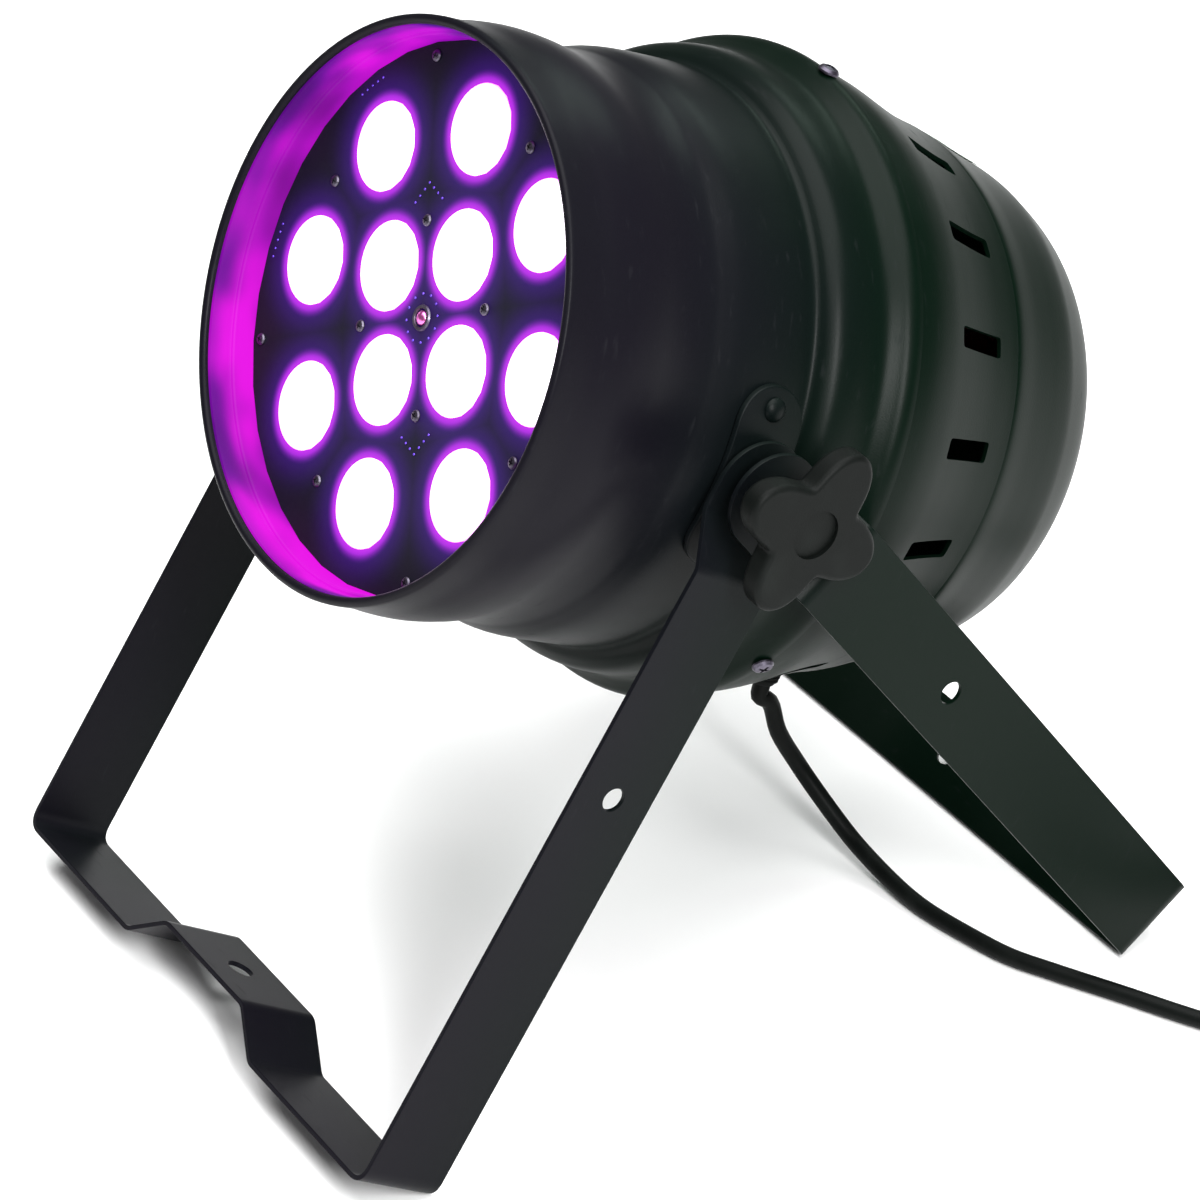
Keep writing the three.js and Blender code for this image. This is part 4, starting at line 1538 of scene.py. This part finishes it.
@dataclass
class MainsLead:
    """Gland, cord with its coil, and plug."""

    radius: float = 3.6
    gland_turn: float = math.radians(-86.5)
    gland_station: float = 150.0
    foot: tuple = ((105.5, 140.0), (101.8, 160.0))
    gland_length: float = 20.0
    route: tuple = (
        (8.6, 92.6, 73), (9, 97.6, 57), (10.5, 106.6, 40), (18.5, 112, 28), (34.9, 118.4, 13),
        (46.9, 120.1, 8.5), (59.2, 121.5, 5.4), (72.4, 122.2, 4.2), (84.2, 123.5, 3.9),
        (105.2, 128, 3.9), (124.3, 133.6, 3.9), (139.8, 141.8, 3.9), (154.7, 150.3, 3.9),
        (169.4, 158.8, 3.9), (184.3, 167, 3.9), (197.8, 174.8, 3.9), (211.4, 182.6, 3.9),
    )
    tail: tuple = ((212, 284.9, 11.6), (200.6, 291.7, 12.6))
    plug_start: tuple = (176, 306.2, 18.6)
    plug_way: tuple = (-0.86, 0.51, 0)
    coil_middle: tuple = (218, 233.7)
    turns: float = 3 + 119 / 360
    turn_points: int = 24
    coil_start: float = -60.0
    climb: float = 0.12
    columns: tuple = ((44.6, 3.9), (37.4, 3.9), (41.0, 10.1), (41.0, 16.4))
    seal: tuple = (
        (0, -3), (6, -3), (6, 0.3), (10.2, 0.3), (10.5, 0.6), (10.5, 2.7), (10.2, 3), (9, 3.2),
        (9, 9.6), (8.4, 10.3),
    )
    seal_end: tuple = ((4.9, 19.6), (4.6, 20), (0, 20))
    plug_body: tuple = (
        (9.4, 22.4), (11.5, 26), (14.4, 29), (17.4, 30.4), (18.5, 32), (18.5, 47.4), (18.2, 48.4),
        (17.4, 49), (0, 49),
    )
    plug_pin: tuple = ((0, 46), (2.4, 46), (2.4, 66.6), (2.1, 67.5), (1.2, 68), (0, 68))
    pin_offset: float = 9.5

    def gland_seat(self) -> tuple[Vector, Vector]:
        """Where the gland sits on the cap and the way it points, in the can's frame, millimetres.

        Returns:
            The seat and the gland's direction.
        """
        (r0, y0), (r1, y1) = self.foot
        slope = (r0 - r1) / (y1 - y0)
        way = Vector((math.cos(self.gland_turn), slope, math.sin(self.gland_turn))).normalized()
        radius = r0 - slope * (self.gland_station - y0)
        return radial(self.gland_turn, radius, self.gland_station) / MM, way

    def coil(self) -> list[Vector]:
        """The coil's points: two turns side by side on the floor, the rest on top.

        Returns:
            The points, from the floor up.
        """
        points = []
        count = int(self.turns * self.turn_points)
        for k in range(count + 1):
            turn = self.turns * k / count
            level = min(int(turn + self.climb), len(self.columns) - 1)
            risen = (turn + self.climb - level) / (2 * self.climb)
            share = max(0.0, min(1.0, risen)) if level else 1.0
            share = share * share * (3 - 2 * share)
            low, high = self.columns[max(level - 1, 0)], self.columns[level]
            radius, height = (a + (b - a) * share for a, b in zip(low, high))
            angle = math.radians(self.coil_start) + 2 * math.pi * turn
            points.append(Vector((self.coil_middle[0] + radius * math.cos(angle),
                                  self.coil_middle[1] + radius * math.sin(angle), height)))
        return points

    def points(self) -> list[Vector]:
        """The cord's whole line in the row frame, metres.

        Returns:
            The points, from the gland to the plug.
        """
        seat, way = self.gland_seat()
        lead = [CAN @ ((seat + way * (self.gland_length + reach)) * MM) for reach in (0.3, 6)]
        plug, plug_way = Vector(self.plug_start), Vector(self.plug_way).normalized()
        rest = [Vector(p) for p in self.route] + self.coil() + [Vector(p) for p in self.tail]
        rest += [plug - plug_way * 6, plug - plug_way * 0.3]
        return lead + [p * MM + FLOOR_MIDDLE for p in rest]

    def build(self) -> None:
        """Make the cord, its gland and its plug."""
        points = self.points()
        fine = spline_through(points, 4)
        length = sum((b - a).length for a, b in zip(fine, fine[1:]))
        curve = bpy.data.curves.new("power_lead", "CURVE")
        curve.dimensions, curve.bevel_depth, curve.bevel_resolution = "3D", self.radius * MM, 4
        curve.use_fill_caps = True
        spline = curve.splines.new("POLY")
        spline.points.add(len(fine) - 1)
        for point, place in zip(spline.points, fine):
            point.co = (*place, 1)
        cord = bpy.data.objects.new("power_lead", curve)
        bpy.context.scene.collection.objects.link(cord)
        plug = self.plug()
        nodes = ["power_cord", "power_cord_coil", "power_cord_tail"]
        settle(cord, RUBBER, "can", nodes)
        logger.info("cord length %.3f m", length)
        self.gland()

    def gland(self) -> None:
        """The strain relief: nut, ribbed neck and taper."""
        seat, way = self.gland_seat()
        ribs = []
        for k in range(5):
            y = 10.6 + k * 1.7
            crest, groove = 7.9 - k * 0.45, 7.0 - k * 0.45
            ribs += [(crest, y), (crest, y + 0.9), (groove, y + 1.1), (groove, y + 1.5)]
        gland = spun("gland_boot", [*self.seal, *ribs, *self.seal_end], 36)
        moved(gland, CAN @ aimed(seat * MM, way))
        settle(gland, PLASTIC, "can", ["cable_gland"])

    def plug(self) -> list[bpy.types.Object]:
        """The round two-pin plug: ribbed grip, body and pins.

        Returns:
            The shell and the pins.
        """
        grip = [(0, 0), (5.2, 0), (5.5, 0.5)]
        for k in range(6):
            y = 2 + k * 3.2
            swell = 5.7 + 0.028 * y**1.55
            grip += [(swell, y), (swell, y + 1.6), (swell - 0.6, y + 2.0), (swell - 0.5, y + 2.8)]
        place = aimed(Vector(self.plug_start) * MM + FLOOR_MIDDLE, Vector(self.plug_way))
        body = moved(spun("plug_body", [*grip, *self.plug_body], 56), place)
        shell = settle(body, RUBBER, "can", ["mains_plug"], 40)
        pins = []
        for side in (-1, 1):
            pin = spun("pin", self.plug_pin, 24)
            pins.append(moved(pin, Matrix.Translation((side * self.pin_offset * MM, 0, 0))))
        metal = settle(moved(joined(pins, "plug_pins"), place), BRASS, "can", angle=50)
        return [shell, metal]


def spline_through(points: Sequence[Vector], steps: int) -> list[Vector]:
    """A smooth line through points in space, evenly eased for uneven spacing.

    Args:
        points: The points it passes through.
        steps: Spans between one point and the next.

    Returns:
        The finer line.
    """
    ends = [points[0] * 2 - points[1], *points, points[-1] * 2 - points[-2]]
    line: list[Vector] = []
    for a, b, c, d in zip(ends, ends[1:], ends[2:], ends[3:]):
        t0, t1 = 0.0, (b - a).length ** 0.5
        t2 = t1 + (c - b).length ** 0.5
        t3 = t2 + (d - c).length ** 0.5
        for k in range(steps):
            t = t1 + (t2 - t1) * k / steps
            ab = a * ((t1 - t) / (t1 - t0)) + b * ((t - t0) / (t1 - t0))
            bc = b * ((t2 - t) / (t2 - t1)) + c * ((t - t1) / (t2 - t1))
            cd = c * ((t3 - t) / (t3 - t2)) + d * ((t - t2) / (t3 - t2))
            abc = ab * ((t2 - t) / (t2 - t0)) + bc * ((t - t0) / (t2 - t0))
            bcd = bc * ((t3 - t) / (t3 - t1)) + cd * ((t - t1) / (t3 - t1))
            line.append(abc * ((t2 - t) / (t2 - t1)) + bcd * ((t - t1) / (t2 - t1)))
    return [*line, points[-1]]


def main() -> None:
    """Build every sub-assembly in order."""
    logging.basicConfig(level=logging.INFO, format="%(message)s")
    FRAME.update(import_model())
    studio = Studio()
    studio.camera()
    MainsLead().build()
    CanBody().build()
    LensPanel().build()
    ControlPlate().build()
    Inside().build()
    for side in SIDES:
        PivotSet(side).build()
    front = Bracket("front_bracket", swing=-math.radians(32), upper=117.4, lower=129.0,
                    length=292.8, rise=14.4, hook=0.0)
    front.build()
    rear = Bracket("rear_bracket", swing=0.0, upper=127.0, lower=142.2, length=312.0, rise=0.0,
                   hook=6.0)
    half = rear.strip / 2
    reach = math.hypot(rear.length, half)
    rear.swing = math.atan2(half, rear.length) + math.acos(PIVOT.z / MM / reach)
    rear.build()
    studio.build()
    deselect()


if __name__ == "__main__":
    main()
